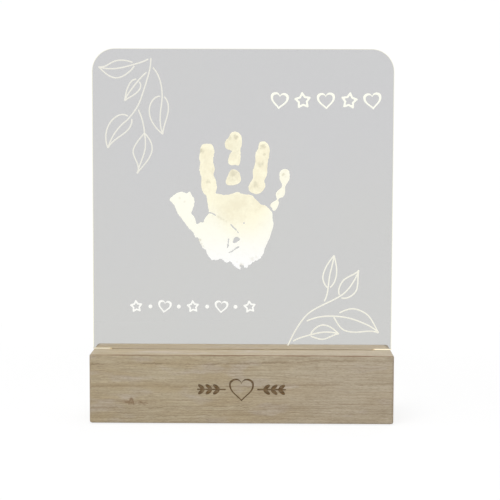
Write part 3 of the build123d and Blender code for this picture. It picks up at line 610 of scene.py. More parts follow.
def wood_material(look):
    """Pale sanded hardwood with long wavy grain, end grain at the ends, a burnt ornament and painted shade
    below the upper front edge.
    """
    material, tree, shader, place = new_material("Pale hardwood")
    wavy = wandering(tree, place, look.waviness / MM)
    marks = wood_marks(tree, place, wavy, look)
    lines, streaks, fine, pores = marks
    burnt = burnt_mask(tree, place)
    bite = rise(tree, cloud(tree, place, 0.35, detail=3.0), 0.35, 0.65, 0.72, 0.9)
    tone = layered(tree, planed_tone(tree, place, wavy, look, marks), [
        end_grain(tree, place, look, lines),
        # Painted shade along the upper front edge
        (painted_edge_shade(tree, place, streaks), EDGE_SHADE_TONE),
        (times(tree, burnt, bite), mixed(tree, rise(tree, fine, 0.3, 0.7), look.burn, CHARRED)),
    ])
    relief = maths(tree, "MULTIPLY_ADD", streaks, 0.4, times(tree, fine, 0.5))
    relief = maths(tree, "MULTIPLY_ADD", pores, -0.6, relief)
    gloss = maths(tree, "MULTIPLY_ADD", maths(tree, "ADD", fine, burnt), 0.18, 0.58)
    put(shader, {
        "Base Color": tone, "Roughness": gloss, "Specular IOR Level": 0.35,
        "Normal": bumped(tree, relief, 0.12, look.relief),
    })
    return material


# Acrylic

ACRYLIC_IOR = 1.49
CORNER_STEPS = 24

# The foot of the plate is painted brighter, as painted light where the lamps' light enters, up to a line
# that falls towards the back, and less high at the ends
FOOT_SLOPE = 0.1
FOOT_END_SLOPE = 1.35

# What lamp light keeps as it passes the plate
LAMP_TINT = screen(250, 250, 249)

# The cut edge: its own tone, its glow next to the faces, and its glow on the seat next to the tongue
EDGE_TONE = screen(60, 60, 57)
EDGE_SIDE_GLOW = screen(232, 231, 218)
INNER_SEAT_GLOW = screen(190, 165, 120)


def lets_lamps_through(tree, shader, tint):
    """Lets lamp light pass a clear material, which would otherwise cast a full shadow."""
    surface = shader.outputs["BSDF"].links[0].to_socket
    open_air = add(tree, "ShaderNodeBsdfTransparent", {"Color": tint})
    to_lamp = add(tree, "ShaderNodeLightPath", output="Is Shadow Ray")
    mixer = add(tree, "ShaderNodeMixShader", {0: to_lamp, 1: shader.outputs["BSDF"], 2: open_air})
    tree.links.new(mixer, surface)


def painted_foot_light_mask(tree, place, look):
    """The lowest few millimetres of the plate, where the light enters, which take a paler tint as painted
    light.
    """
    x, y, z = split(tree, place)
    above_wood = maths(tree, "SUBTRACT", z, WOOD_TOP_MM)
    height = maths(tree, "MULTIPLY_ADD", y, FOOT_SLOPE, above_wood)
    top = look.painted_foot_light_height / MM
    to_end = maths(tree, "SUBTRACT", PLATE_HIGH.x / MM, away_from(tree, x))
    end_line = maths(tree, "MULTIPLY_ADD", height, -FOOT_END_SLOPE, to_end)
    return times(
        tree, rise(tree, height, top + 0.1, top - 0.1), rise(tree, above_wood, -0.8, -0.6),
        rise(tree, end_line, -0.1, 0.5),
    )


def past_tongue(tree, x, look, start, end):
    """Goes from 0 to 1 on the shoulders, between two distances past the tongue's ends in millimetres."""
    tongue_end = (PLATE_HIGH.x - look.shoulder) / MM
    return rise(tree, away_from(tree, x), tongue_end + start, tongue_end + end)


def seat_light(tree, x, look):
    """The colour of the light under the shoulders, which is weaker on the left."""
    return scaled(tree, look.seat_glow, rise(tree, x, -10.0, 10.0, 0.7, 1.0))


def seat_band(tree, x, z, look):
    """The lowest half millimetre of the shoulders, which the light in the plate brightens."""
    band_top = (WOOD_TOP + look.seat_gap + look.seat_band) / MM
    low = rise(tree, z, band_top + 0.1, band_top - 0.1, 0.0, 0.55)
    return times(tree, low, past_tongue(tree, x, look, 0.3, 1.0))


def clear_material(look):
    """Clear acrylic with a faint grey tint, a few wiping marks and a foot painted paler as painted light."""
    material, tree, shader, place = new_material("Clear acrylic")
    x, _, z = split(tree, place)
    height = rise(tree, z, PLATE_LOW.z / MM, PLATE_HIGH.z / MM)
    haze = rise(tree, cloud(tree, place, 0.012, detail=3.0), 0.3, 0.7, -0.25, 0.25)
    tint = mixed(tree, maths(tree, "ADD", height, haze), look.tint_low, look.tint_high)
    wipes = fibre(tree, place, 60.0, 9.0, detail=4.0)
    glow = mixed(tree, seat_band(tree, x, z, look), (0.0, 0.0, 0.0), seat_light(tree, x, look))
    put(shader, {
        # The foot takes a paler tint: painted light where the lamps' light enters
        "Base Color": mixed(tree, painted_foot_light_mask(tree, place, look), tint, look.painted_foot_light_tint),
        "Roughness": rise(tree, wipes, 0.55, 0.8, 0.0, 0.035),
        "IOR": ACRYLIC_IOR, "Transmission Weight": 1.0,
        "Emission Color": glow, "Emission Strength": look.glow_strength,
    })
    lets_lamps_through(tree, shader, LAMP_TINT)
    return material


def lit_edge_material(look):
    """The cut edge of the acrylic, where the light from the lamps leaves the plate."""
    material, tree, shader, place = new_material("Lit acrylic edge")
    x, y, z = split(tree, place)
    glow = mixed(tree, rise(tree, z, WOOD_TOP_MM, PLATE_HIGH.z / MM), look.glow, look.glow_high)
    edge, gloss, height = fine_skin(tree, stretched(tree, place, (1.0, 8.0, 1.0)), glow, 0.8, 0.06, 0.3)
    half_thickness = (PLATE_HIGH.y - PLATE_LOW.y) / 2 / MM
    by_face = rise(tree, away_from(tree, y), half_thickness - 0.9, half_thickness - 0.1, 0.0, 0.35)
    seat = mixed(tree, past_tongue(tree, x, look, 0.6, 1.6), INNER_SEAT_GLOW, seat_light(tree, x, look))
    on_seat = rise(tree, z, WOOD_TOP_MM + 1.5, WOOD_TOP_MM + 0.3)
    put(shader, {
        "Base Color": EDGE_TONE, "Roughness": gloss, "IOR": ACRYLIC_IOR,
        "Emission Color": layered(tree, edge, [(by_face, EDGE_SIDE_GLOW), (on_seat, seat)]),
        "Emission Strength": look.glow_strength, "Normal": bumped(tree, height, 0.02),
    })
    return material


def plate_outline(look):
    """The plate as seen from the front, from the tongue's lower left corner and clockwise."""
    low, high, corner = PLATE_LOW, PLATE_HIGH, look.corner_round
    seat = WOOD_TOP + look.seat_gap
    tongue_left, tongue_right = low.x + look.shoulder, high.x - look.shoulder
    points = [(tongue_left, low.z), (tongue_left, seat), (low.x, seat)]
    for centre_x, start in ((low.x + corner, pi), (high.x - corner, pi / 2)):
        for step in range(CORNER_STEPS + 1):
            angle = start - pi / 2 * step / CORNER_STEPS
            points.append((centre_x + corner * cos(angle), high.z - corner + corner * sin(angle)))
    return points + [(high.x, seat), (tongue_right, seat), (tongue_right, low.z)]


def shrunk(points, inset):
    """A clockwise outline moved inwards by the same distance all round."""
    moved = []
    count = len(points)
    for number in range(count):
        before, here, after = (Vector(points[(number + step) % count]) for step in (-1, 0, 1))
        first, second = (here - before).normalized(), (after - here).normalized()
        inward = Vector((first.y, -first.x)) + Vector((second.y, -second.x))
        moved.append(tuple(here + inward * (inset / (1 + first.dot(second)))))
    return moved


def place_piece(name, mesh, body):
    """Puts a mesh in the scene as a piece that rides on a body."""
    piece = bpy.data.objects.new(name, mesh)
    bpy.context.scene.collection.objects.link(piece)
    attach(piece, body)
    return piece


def new_piece(name, points, faces, body, materials, face_materials=None):
    """A mesh piece that rides on a body."""
    mesh = bpy.data.meshes.new(name)
    mesh.from_pydata(points, [], faces)
    for material in materials:
        mesh.materials.append(material)
    if face_materials is not None:
        mesh.polygons.foreach_set("material_index", face_materials)
    mesh.update()
    return place_piece(name, mesh, body)


def plate_mesh(look):
    """Points and faces of the plate, with a chamfer round both faces. The cut edges have number 1."""
    outline = plate_outline(look)
    inner = shrunk(outline, look.chamfer)
    front, back = PLATE_LOW.y, PLATE_HIGH.y
    loops = [
        (inner, front), (outline, front + look.chamfer), (outline, back - look.chamfer), (inner, back)
    ]
    points = [(x, y, z) for loop, y in loops for x, z in loop]
    count = len(outline)
    faces = [tuple(reversed(range(count)))]
    numbers = [0]
    for ring in range(len(loops) - 1):
        for step in range(count):
            after = (step + 1) % count
            low, high = ring * count, (ring + 1) * count
            faces.append((low + step, low + after, high + after, high + step))
            numbers.append(1)
    faces.append(tuple(range(3 * count, 4 * count)))
    numbers.append(0)
    return points, faces, numbers


# Prints

# Places on the prints in millimetres, across from the middle of the plate or up from the wood. Where there
# are two, a change begins at the first and is full at the second.
THUMB_SIDE = (-27.5, -33.5)
LITTLE_FINGER_SIDE = (17.0, 20.0)
LITTLE_FINGER_CREAM = 0.35
PALM_MIDDLE = -0.5
CREAM_ABOVE_WOOD = (69.5, 92.5)
CREAM_SIDES = (6.0, 21.0)
CREAM_CLIMB = 11.0
HALFWAY_ABOVE_WOOD = (52.0, 84.0)
LINES_ABOVE_WOOD = (60.0, 120.0)
HEEL_ABOVE_WOOD = (75.5, 59.5)
MOTTLE_ABOVE_WOOD = (98.0, 108.0)

# The torn edge of the heel: its place, and how far from it the tearing begins and is full
TORN_PLACE = (-28.0, 71.5)
TORN_REACH = (9.0, 3.0)

# The print's side on the plate glows this much more than its open side
PLATE_SIDE_GAIN = 1.7

# Air between print and plate, and shares of the print's thickness: at its edge, and where it is worn away
INK_GAP = 0.01
EDGE_SHARE = 0.25
WORN_SHARE = 0.6

# How near a cut may come to a grid point, as a share of the grid's spacing
SLIVER = 0.02

# Places on the hand where the ink is thin: across, up from the wood, radius, and how thin
WORN_SPOTS = [
    (-27.5, 133.0, 1.7, 0.8), (-23.0, 112.5, 1.4, 0.55), (-4.5, 142.5, 1.5, 0.75), (-6.5, 118.0, 2.1, 0.5),
    (13.2, 136.0, 1.7, 0.7), (14.5, 131.0, 1.0, 0.6), (11.5, 124.5, 1.8, 0.6), (8.3, 110.8, 2.0, 0.6),
    (27.0, 117.5, 1.2, 0.6), (-42.0, 101.8, 0.9, 0.3), (-38.5, 99.3, 0.8, 0.3), (-28.7, 73.5, 1.0, 0.6),
    (-27.4, 71.1, 1.1, 0.55), (-28.3, 69.1, 0.9, 0.5), (6.0, 55.0, 1.1, 0.4), (8.8, 56.5, 0.9, 0.35),
    (-6.5, 137.0, 6.0, 0.22), (-6.5, 118.0, 5.0, 0.2), (-8.7, 142.0, 1.6, 0.35), (-16.0, 89.1, 1.0, 0.35),
    (-14.3, 88.3, 0.9, 0.35), (-12.6, 87.5, 0.9, 0.35), (-10.9, 86.5, 0.8, 0.3), (-7.0, 99.0, 14.0, 0.12),
    (-5.8, 130.5, 3.5, 0.14), (6.5, 61.2, 1.5, 0.25), (9.2, 62.6, 1.0, 0.22), (-0.8, 57.0, 1.3, 0.45),
    (-3.6, 59.2, 0.9, 0.3), (-26.4, 69.6, 0.8, 0.4),
]


def front_edges(node):
    """The border lines of a print's front face, as pairs of points across and up."""
    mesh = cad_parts[node].data
    corners = [tuple(round(part / MM, 4) for part in vertex.co) for vertex in mesh.vertices]
    uses = {}
    for face in mesh.polygons:
        if face.normal.y > -0.9:
            continue
        ring = [corners[index] for index in face.vertices]
        for start, end in zip(ring, ring[1:] + ring[:1]):
            key = (min(start, end), max(start, end))
            uses[key] = uses.get(key, 0) + 1
    borders = [key for key, number in uses.items() if number == 1]
    return np.array([[(start[0], start[2]), (end[0], end[2])] for start, end in borders])


def inside(edges, across, up):
    """Whether each point of a grid lies within the border lines."""
    result = np.zeros((len(up), len(across)), bool)
    for row, height in enumerate(up):
        starts, ends = edges[:, 0], edges[:, 1]
        crossed = edges[(starts[:, 1] > height) != (ends[:, 1] > height)]
        if not len(crossed):
            continue
        (start_x, start_z), (end_x, end_z) = crossed[:, 0].T, crossed[:, 1].T
        places = np.sort(start_x + (height - start_z) / (end_z - start_z) * (end_x - start_x))
        result[row] = np.searchsorted(places, across) % 2 == 1
    return result


def distances(edges, across, up, spacing):
    """The distance of each grid point from the border, positive inside it."""
    samples = []
    for start, end in edges:
        steps = max(1, ceil(hypot(*(end - start)) / spacing))
        samples += [start + (end - start) * step / steps for step in range(steps)]
    tree = KDTree(len(samples))
    for number, (x, z) in enumerate(samples):
        tree.insert((x, z, 0.0), number)
    tree.balance()
    away = np.array([[tree.find((x, z, 0.0))[2] for x in across] for z in up])
    return np.where(inside(edges, across, up), away, -away)


def smooth(values, low, high):
    """Goes smoothly from 0 to 1 while the values go from low to high."""
    part = np.clip((values - low) / (high - low), 0.0, 1.0)
    return part * part * (3 - 2 * part)


def noise_grid(across, up, size, seed):
    """Soft noise from -1 to 1 on a grid."""
    return np.array([[noise.noise((x / size, z / size, seed)) for x in across] for z in up])


class Corners:
    """The corners of a cut grid, each made at its first use."""

    def __init__(self, depth):
        """Starts with no corners."""
        self.depth = depth
        self.places = []
        self.numbers = {}

    def number(self, key, place):
        """The number of the corner with this key."""
        if key not in self.numbers:
            self.numbers[key] = len(self.places)
            self.places.append(place)
        return self.numbers[key]

    def crossing(self, first, second):
        """The corner where the depth is zero between two grid points."""
        first, second = min(first, second), max(first, second)
        part = self.depth[first] / (self.depth[first] - self.depth[second])
        part = min(max(part, SLIVER), 1 - SLIVER)
        return self.number((first, second), tuple(a + (b - a) * part for a, b in zip(first, second)))

    def kept_shape(self, triangle):
        """The outline of what is left of a triangle."""
        shape = []
        for start, end in zip(triangle, triangle[1:] + triangle[:1]):
            if self.depth[start] > 0:
                shape.append(self.number(start, start))
            if (self.depth[start] > 0) != (self.depth[end] > 0):
                shape.append(self.crossing(start, end))
        return shape


def cut_grid(depth):
    """The triangles of a grid where its depth is positive, and their corners as places in the grid."""
    rows, columns = depth.shape
    corners, triangles = Corners(depth), []
    for row in range(rows - 1):
        for column in range(columns - 1):
            if depth[row:row + 2, column:column + 2].max() <= 0:
                continue
            low_left, low_right = (row, column), (row, column + 1)
            high_left, high_right = (row + 1, column), (row + 1, column + 1)
            for triangle in ((low_left, low_right, high_right), (low_left, high_right, high_left)):
                shape = corners.kept_shape(triangle)
                triangles += [(shape[0], *pair) for pair in zip(shape[1:-1], shape[2:])]
    return np.array(corners.places, float), triangles


def read_grid(grid, places):
    """The grid's values at places between its points."""
    low = np.minimum(np.floor(places).astype(int), np.array(grid.shape) - 2)
    row_part, column_part = (places - low).T
    row, column = low.T
    return (
        grid[row, column] * (1 - row_part) * (1 - column_part)
        + grid[row + 1, column] * row_part * (1 - column_part)
        + grid[row, column + 1] * (1 - row_part) * column_part
        + grid[row + 1, column + 1] * row_part * column_part
    )


def border_of(triangles):
    """The open edges of a sheet of triangles, each in its triangle's direction."""
    directed = set()
    for a, b, c in triangles:
        directed.update([(a, b), (b, c), (c, a)])
    return [edge for edge in directed if (edge[1], edge[0]) not in directed]


def ink_piece(name, node, material, pitch, edge_round, ragged=None, thinning=None):
    """A print with a rounded edge, made from the outline of its CAD node."""
    low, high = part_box(node)
    margin = 4 * pitch
    across = np.arange(low.x / MM - margin, high.x / MM + margin, pitch)
    up = np.arange(low.z / MM - margin, high.z / MM + margin, pitch)
    depth = distances(front_edges(node), across, up, pitch / 2)
    if ragged is not None:
        depth = depth + ragged(across, up)
    places, triangles = cut_grid(depth)
    x = across[0] + places[:, 1] * pitch
    z = up[0] + places[:, 0] * pitch
    ink = np.ones(len(x)) if thinning is None else thinning(x, z)
    depths = np.maximum(read_grid(depth, places), 0.0)
    profile = EDGE_SHARE + (1 - EDGE_SHARE) * smooth(depths, -0.2 * edge_round, edge_round)
    height = ((high.y - low.y) / MM - INK_GAP) * profile * (WORN_SHARE + (1 - WORN_SHARE) * ink)
    seat = np.full(len(x), high.y / MM - INK_GAP)
    points = np.concatenate([np.stack([x, y, z], axis=1) for y in (seat - height, seat)]) * MM
    piece = new_piece(name, points.tolist(), closed(triangles, len(x)), "plate", [material])
    flat_faces = len(piece.data.polygons) - len(triangles)
    piece.data.polygons.foreach_set("use_smooth", [True] * len(triangles) + [False] * flat_faces)
    attribute = piece.data.attributes.new("ink", "FLOAT", "POINT")
    attribute.data.foreach_set("value", np.concatenate([ink, ink]).astype(np.float32))
    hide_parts(node)


def closed(triangles, count):
    """The faces of a thin solid: its front, its back, whose points come count later, and its edge."""
    back = [(c + count, b + count, a + count) for a, b, c in triangles]
    edge = [(b, a, a + count, b + count) for a, b in border_of(triangles)]
    return triangles + back + edge


def hand_edge(reach):
    """How the edge of the handprint wanders: everywhere a little, and more at the heel."""
    def wander(across, up):
        """How far the edge moves at each point of a grid."""
        above_wood = up - WOOD_TOP_MM
        fine = noise_grid(across, up, 0.9, 3.7)
        middling = noise_grid(across, up, 2.3, 8.1)
        heel = smooth(above_wood[:, None], *HEEL_ABOVE_WOOD)
        torn = smooth(
            np.hypot(across[None, :] - TORN_PLACE[0], above_wood[:, None] - TORN_PLACE[1]), *TORN_REACH
        )
        return reach * (fine + 0.7 * middling) * (1.0 + 1.4 * heel + 2.5 * torn)
    return wander


def fractal_noise(x, z, size, seed, octaves):
    """Soft noise in several sizes at single places."""
    places = zip(x / size, z / size)
    return np.array([noise.fractal((a, b, seed), 1.0, 2.0, octaves) for a, b in places])


def hand_ink(x, z):
    """How thick the ink of the handprint is, from 0 to 1."""
    up = z - WOOD_TOP_MM
    ink = np.ones(len(x))
    uneven = fractal_noise(x, up, 1.3, 7.7, 3)
    for spot_x, spot_z, radius, strength in WORN_SPOTS:
        away = np.hypot(x - spot_x, up - spot_z) + 0.7 * radius * uneven
        ink -= strength * smooth(away, 1.4 * radius, 0.3 * radius)
    mottle = fractal_noise(x, up, 3.5, 1.3, 4)
    fine = np.array([noise.noise((a, b, 5.9)) for a, b in zip(x / 0.7, up / 0.7)])
    high = 0.2 + 0.8 * smooth(up, *MOTTLE_ABOVE_WOOD) * smooth(x, THUMB_SIDE[1], THUMB_SIDE[0])
    ink -= high * (0.17 * smooth(mottle, 0.0, 0.8) + 0.14 * smooth(fine, 0.1, 0.7))
    return np.clip(ink, 0.0, 1.0)


def ink_shader(tree, shader, print_colour, lit_share):
    """Gives the print its colour, partly from the room's light and partly from its own."""
    to_plate = rise(tree, split(tree, facing(tree))[1], 0.5, 0.9, 1 / PLATE_SIDE_GAIN, 1.0)
    put(shader, {
        "Base Color": scaled(tree, print_colour, 1 - lit_share),
        "Emission Color": scaled(tree, print_colour, to_plate),
        "Emission Strength": lit_share * PLATE_SIDE_GAIN, "Specular IOR Level": 0.2,
    })


def rise_above_wood(tree, z, heights):
    """Goes from 0 to 1 between two heights above the wood."""
    return rise(tree, z, WOOD_TOP_MM + heights[0], WOOD_TOP_MM + heights[1])


def cream_mask(tree, x, z):
    """The upper hand but its thumb. The lower border climbs towards its sides."""
    climb = rise(tree, away_from(tree, x, PALM_MIDDLE), *CREAM_SIDES, 0.0, CREAM_CLIMB)
    height = rise_above_wood(tree, maths(tree, "SUBTRACT", z, climb), CREAM_ABOVE_WOOD)
    off_thumb = rise(tree, x, THUMB_SIDE[1], THUMB_SIDE[0])
    off_little = rise(tree, x, *LITTLE_FINGER_SIDE, 1.0, LITTLE_FINGER_CREAM)
    return times(tree, height, off_thumb, off_little)


def hand_ink_material(look):
    """White print that glows from within: white near the lights, cream further up."""
    material, tree, shader, place = new_material("Lit handprint")
    x, _, z = split(tree, place)
    clouds = rise(tree, cloud(tree, place, 0.11, detail=4.0, roughness=0.6), 0.42, 0.66)
    upper = mixed(tree, clouds, look.far, look.faded)
    lower = mixed(tree, rise_above_wood(tree, z, HALFWAY_ABOVE_WOOD), look.near, look.middle)
    ink = add(tree, "ShaderNodeAttribute", output="Fac", attribute_name="ink", attribute_type="GEOMETRY")
    print_colour = mixed(tree, ink, look.thin, mixed(tree, cream_mask(tree, x, z), lower, upper))
    ink_shader(tree, shader, print_colour, look.lit_share)
    grain = cloud(tree, place, 2.5, detail=3.0)
    put(shader, {"Roughness": rise(tree, grain, 0.3, 0.7, 0.5, 0.7), "Normal": bumped(tree, grain, 0.03)})
    return material


def line_ink_material(look, name, low_tone, high_tone):
    """White line print that glows from within."""
    material, tree, shader, place = new_material(name)
    height = rise_above_wood(tree, split(tree, place)[2], LINES_ABOVE_WOOD)
    tone = mixed(tree, height, low_tone, high_tone)
    surface, gloss, relief = fine_skin(tree, place, tone, 0.7, 0.05, 0.55)
    ink_shader(tree, shader, surface, look.lit_share)
    put(shader, {"Roughness": gloss, "Normal": bumped(tree, relief, 0.02)})
    return material


# Lights and fittings

CUP_TONE = screen(238, 236, 228)
PALE_PHOSPHOR = screen(255, 240, 190)


def light_chip_material(look):
    """White cup with a sunk yellow face that glows."""
    material, tree, shader, place = new_material("Light chip")
    upward = maths(tree, "GREATER_THAN", split(tree, facing(tree))[2], 0.9)
    cup_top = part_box("led_chips")[1].z / MM
    sunk = maths(tree, "LESS_THAN", split(tree, place)[2], cup_top - 0.05)
    face = times(tree, upward, sunk)
    glow = mixed(tree, rise(tree, cloud(tree, place, 6.0), 0.3, 0.7), look.phosphor, PALE_PHOSPHOR)
    cup, gloss, _ = fine_skin(tree, place, CUP_TONE, 0.5, 0.05, 0.45)
    put(shader, {
        "Base Color": mixed(tree, face, cup, glow), "Roughness": gloss,
        "Emission Color": mixed(tree, face, (0.0, 0.0, 0.0), glow),
        "Emission Strength": look.phosphor_strength,
    })
    return material


def finish(material, *nodes):
    """Gives CAD nodes their material."""
    for node in nodes:
        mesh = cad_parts[node].data
        mesh.materials.clear()
        mesh.materials.append(material)


def return_spring(material):
    """The switch's coil spring, as a piece with its own mesh that rides on the base. The real spring gets
    shorter as the button goes in.
    """
    finish(material, "switch_spring")
    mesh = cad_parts["switch_spring"].data.copy()
    spring = place_piece("return_spring", mesh, "base")
    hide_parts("switch_spring")
    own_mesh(spring)


class LampOperator:
    """What the lamp's operators share."""

    bl_options = {"REGISTER", "UNDO"}

    def execute(self, context):
        """Makes the operator's pieces."""
        self.make(context.scene)
        return {"FINISHED"}


class OBJECT_OT_lamp_base(LampOperator, bpy.types.Operator):
    """Finish the wooden base"""

    bl_idname = "object.lamp_base"
    bl_label = "Wooden base"

    def make(self, scene):
        finish(wood_material(scene.lamp_wood), "base_block")


class OBJECT_OT_lamp_plate(LampOperator, bpy.types.Operator):
    """Build the clear plate with its lit edges"""

    bl_idname = "object.lamp_plate"
    bl_label = "Acrylic plate"

    def make(self, scene):
        look = scene.lamp_plate
        points, faces, numbers = plate_mesh(look)
        materials = [clear_material(look), lit_edge_material(look)]
        piece = new_piece("clear_plate", points, faces, "plate", materials, numbers)
        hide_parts("acrylic_plate")


class OBJECT_OT_lamp_handprint(LampOperator, bpy.types.Operator):
    """Build the handprint"""

    bl_idname = "object.lamp_handprint"
    bl_label = "Handprint"

    def make(self, scene):
        look = scene.lamp_ink
        ink_piece(
            "hand_ink", "hand_print", hand_ink_material(look), pitch=look.hand_pitch / MM,
            edge_round=0.5, ragged=hand_edge(look.ragged / MM), thinning=hand_ink,
        )


class OBJECT_OT_lamp_lines(LampOperator, bpy.types.Operator):
    """Build the leaf sprigs and the rows of motifs"""

    bl_idname = "object.lamp_lines"
    bl_label = "Sprigs and motifs"

    def make(self, scene):
        look = scene.lamp_ink
        thin_lines = line_ink_material(look, "Lit line print", look.line, look.line_far)
        bold_lines = line_ink_material(look, "Lit motif print", look.motif, look.motif_far)
        for place in ("upper", "lower"):
            for kind, material in (("sprig", thin_lines), ("motifs", bold_lines)):
                node = f"{place}_{kind}"
                ink_piece(
                    f"{node}_ink", node, material, pitch=look.line_pitch / MM,
                    edge_round=0.35,
                )


class OBJECT_OT_lamp_lights(LampOperator, bpy.types.Operator):
    """Finish the light strip and the bar that carries it"""

    bl_idname = "object.lamp_lights"
    bl_label = "Lights"

    def make(self, scene):
        finish(light_chip_material(scene.lamp_fittings), "led_chips")
        board = skinned("White board", screen(232, 232, 226), roughness=0.4, size=1.2, depth=0.01)
        chip = skinned("Black chip", screen(30, 30, 31), roughness=0.5, size=0.4, depth=0.01, dust=0.1)
        rail = drawn_metal("Aluminium bar", screen(214, 215, 217), roughness=0.28, line_width=0.25)
        finish(board, "led_board")
        finish(chip, "strip_resistors")
        finish(rail, "led_rail")


class OBJECT_OT_lamp_underside(LampOperator, bpy.types.Operator):
    """Finish the bottom cover and the feet"""

    bl_idname = "object.lamp_underside"
    bl_label = "Underside"

    def make(self, scene):
        look = scene.lamp_fittings
        cover = skinned(
            "Grained plastic", look.dark_plastic, roughness=0.62, size=0.45, depth=0.06, change=0.2, dust=0.1
        )
        rubber = skinned("Rubber", look.rubber, roughness=0.8, size=0.6, depth=0.05, change=0.25, dust=0.2)
        finish(cover, "bottom_cover")
        finish(rubber, "foot_front_left", "foot_front_right", "foot_back_left", "foot_back_right")


class OBJECT_OT_lamp_screws(LampOperator, bpy.types.Operator):
    """Finish the screws"""

    bl_idname = "object.lamp_screws"
    bl_label = "Screws"

    def make(self, scene):
        look = scene.lamp_fittings
        steel = skinned(
            "Plated steel", look.steel, roughness=0.3, size=0.5, depth=0.01, change=0.15, metallic=1.0
        )
        finish(steel, "cover_screws", "rail_screws", "panel_screws", "board_screws")


class OBJECT_OT_lamp_panel(LampOperator, bpy.types.Operator):
    """Finish the rear panel and the power socket"""

    bl_idname = "object.lamp_panel"
    bl_label = "Rear panel and socket"

    def make(self, scene):
        look = scene.lamp_fittings
        panel = skinned(
            "Panel plastic", look.dark_plastic, roughness=0.5, size=0.3, depth=0.04, change=0.15, dust=0.15
        )
        tongue = skinned("Socket tongue", screen(28, 28, 29), roughness=0.45, size=0.3, depth=0.01)
        shell = drawn_metal("Socket metal", screen(206, 205, 203), roughness=0.22, line_width=0.1)
        finish(panel, "rear_panel")
        finish(shell, "socket_shell")
        finish(tongue, "socket_tongue")


class OBJECT_OT_lamp_switch(LampOperator, bpy.types.Operator):
    """Finish the push switch, its spring and its button"""

    bl_idname = "object.lamp_switch"
    bl_label = "Push switch"

    def make(self, scene):
        look = scene.lamp_fittings
        case = skinned("Switch plastic", look.switch_plastic, roughness=0.45, size=0.4, depth=0.01)
        button = skinned(
            "Satin button", look.button, roughness=0.35, size=0.35, depth=0.015, change=0.05, dust=0.1
        )
        finish(case, "switch_body", "switch_plunger")
        return_spring(drawn_metal("Spring steel", look.steel, roughness=0.3, line_width=0.05))
        finish(button, "button_cap")


class OBJECT_OT_lamp_board(LampOperator, bpy.types.Operator):
    """Finish the control board and its wires"""

    bl_idname = "object.lamp_board"
    bl_label = "Control board and wires"

    def make(self, scene):
        board = skinned("Green board", scene.lamp_fittings.board, roughness=0.38, size=0.6, depth=0.01)
        red = skinned("Red wire", screen(176, 38, 30), roughness=0.42, size=0.5, depth=0.01)
        black = skinned("Black wire", screen(36, 36, 37), roughness=0.42, size=0.5, depth=0.01)
        finish(board, "control_board")
        finish(red, "wire_positive")
        finish(black, "wire_negative")


# Stage

PICTURE_SIZE = 500
SENSOR_WIDTH = 36.0
SEEN_WHITE = 1.01
FLOOR_HALF = 6.0
FLOOR_GREY = (0.8, 0.8, 0.8)
SHADOW_REACH = (0.14, 0.5)
SHADOW_DEPTH = 0.2
LIT_PLACE = (0.0, 0.0, 0.1)

# The square lamps: name, place, size and the setting that holds the power
LAMPS = [
    ("Key lamp", (-0.2, -0.7, 1.1), 0.9, "key_power"),
    ("Left lamp", (-1.1, -0.5, 0.5), 0.7, "fill_power"),
    ("Right lamp", (1.1, -0.5, 0.5), 0.7, "fill_power"),
    ("Back lamp", (0.3, 1.2, 0.6), 0.9, "back_power"),
]


def seen_directly(tree):
    """Whether a ray comes from the camera, straight or by way of gloss or glass."""
    path = tree.nodes.new("ShaderNodeLightPath")
    kinds = [path.outputs[name] for name in ("Is Camera Ray", "Is Glossy Ray", "Is Transmission Ray")]
    return maths(tree, "MAXIMUM", kinds[0], maths(tree, "MAXIMUM", kinds[1], kinds[2]))


def floor_material():
    """A white floor that keeps the soft shadow of what stands on it and fades into white."""
    material = bpy.data.materials.new("White floor")
    tree = emptied(material)
    away = length_of(tree, add(tree, "ShaderNodeTexCoord", output="Object"))
    shadow_share = rise(tree, away, *SHADOW_REACH, SHADOW_DEPTH, 0.0)
    own_light = maths(tree, "SUBTRACT", SEEN_WHITE, shadow_share)
    grey = joined(tree, shadow_share, shadow_share, shadow_share)
    shaded = add(tree, "ShaderNodeBsdfDiffuse", {"Color": grey})
    bright = add(tree, "ShaderNodeEmission", {"Color": (1.0, 1.0, 1.0), "Strength": own_light})
    shown = add(tree, "ShaderNodeAddShader", {0: shaded, 1: bright})
    plain = add(tree, "ShaderNodeBsdfDiffuse", {"Color": FLOOR_GREY})
    both = add(tree, "ShaderNodeMixShader", {0: seen_directly(tree), 1: plain, 2: shown})
    put(tree.nodes.new("ShaderNodeOutputMaterial"), {"Surface": both})
    return material


def white_world(level):
    """White where it is seen, and soft ambient light elsewhere."""
    world = bpy.data.worlds.new("Studio")
    tree = emptied(world)
    strength = rise(tree, seen_directly(tree), 0.0, 1.0, level, SEEN_WHITE)
    background = add(tree, "ShaderNodeBackground", {"Color": (1.0, 1.0, 1.0), "Strength": strength})
    put(tree.nodes.new("ShaderNodeOutputWorld"), {"Surface": background})
    return world


def add_floor(scene):
    """A wide floor under the lamp."""
    mesh = bpy.data.meshes.new("floor")
    corners = [(x * FLOOR_HALF, y * FLOOR_HALF, 0.0) for x, y in ((-1, -1), (1, -1), (1, 1), (-1, 1))]
    mesh.from_pydata(corners, [], [(0, 1, 2, 3)])
    mesh.materials.append(floor_material())
    floor = bpy.data.objects.new("floor", mesh)
    scene.collection.objects.link(floor)


def add_lamp(scene, name, place, size, power):
    """A square lamp that looks at the middle of the plate's foot."""
    lamp = bpy.data.lights.new(name, "AREA")
    lamp.energy = power
    lamp.size = size
    holder = bpy.data.objects.new(name, lamp)
    scene.collection.objects.link(holder)
    holder.location = place
    holder.rotation_euler = (Vector(LIT_PLACE) - Vector(place)).to_track_quat("-Z", "Y").to_euler()
    holder.visible_camera = False
    holder.visible_transmission = False


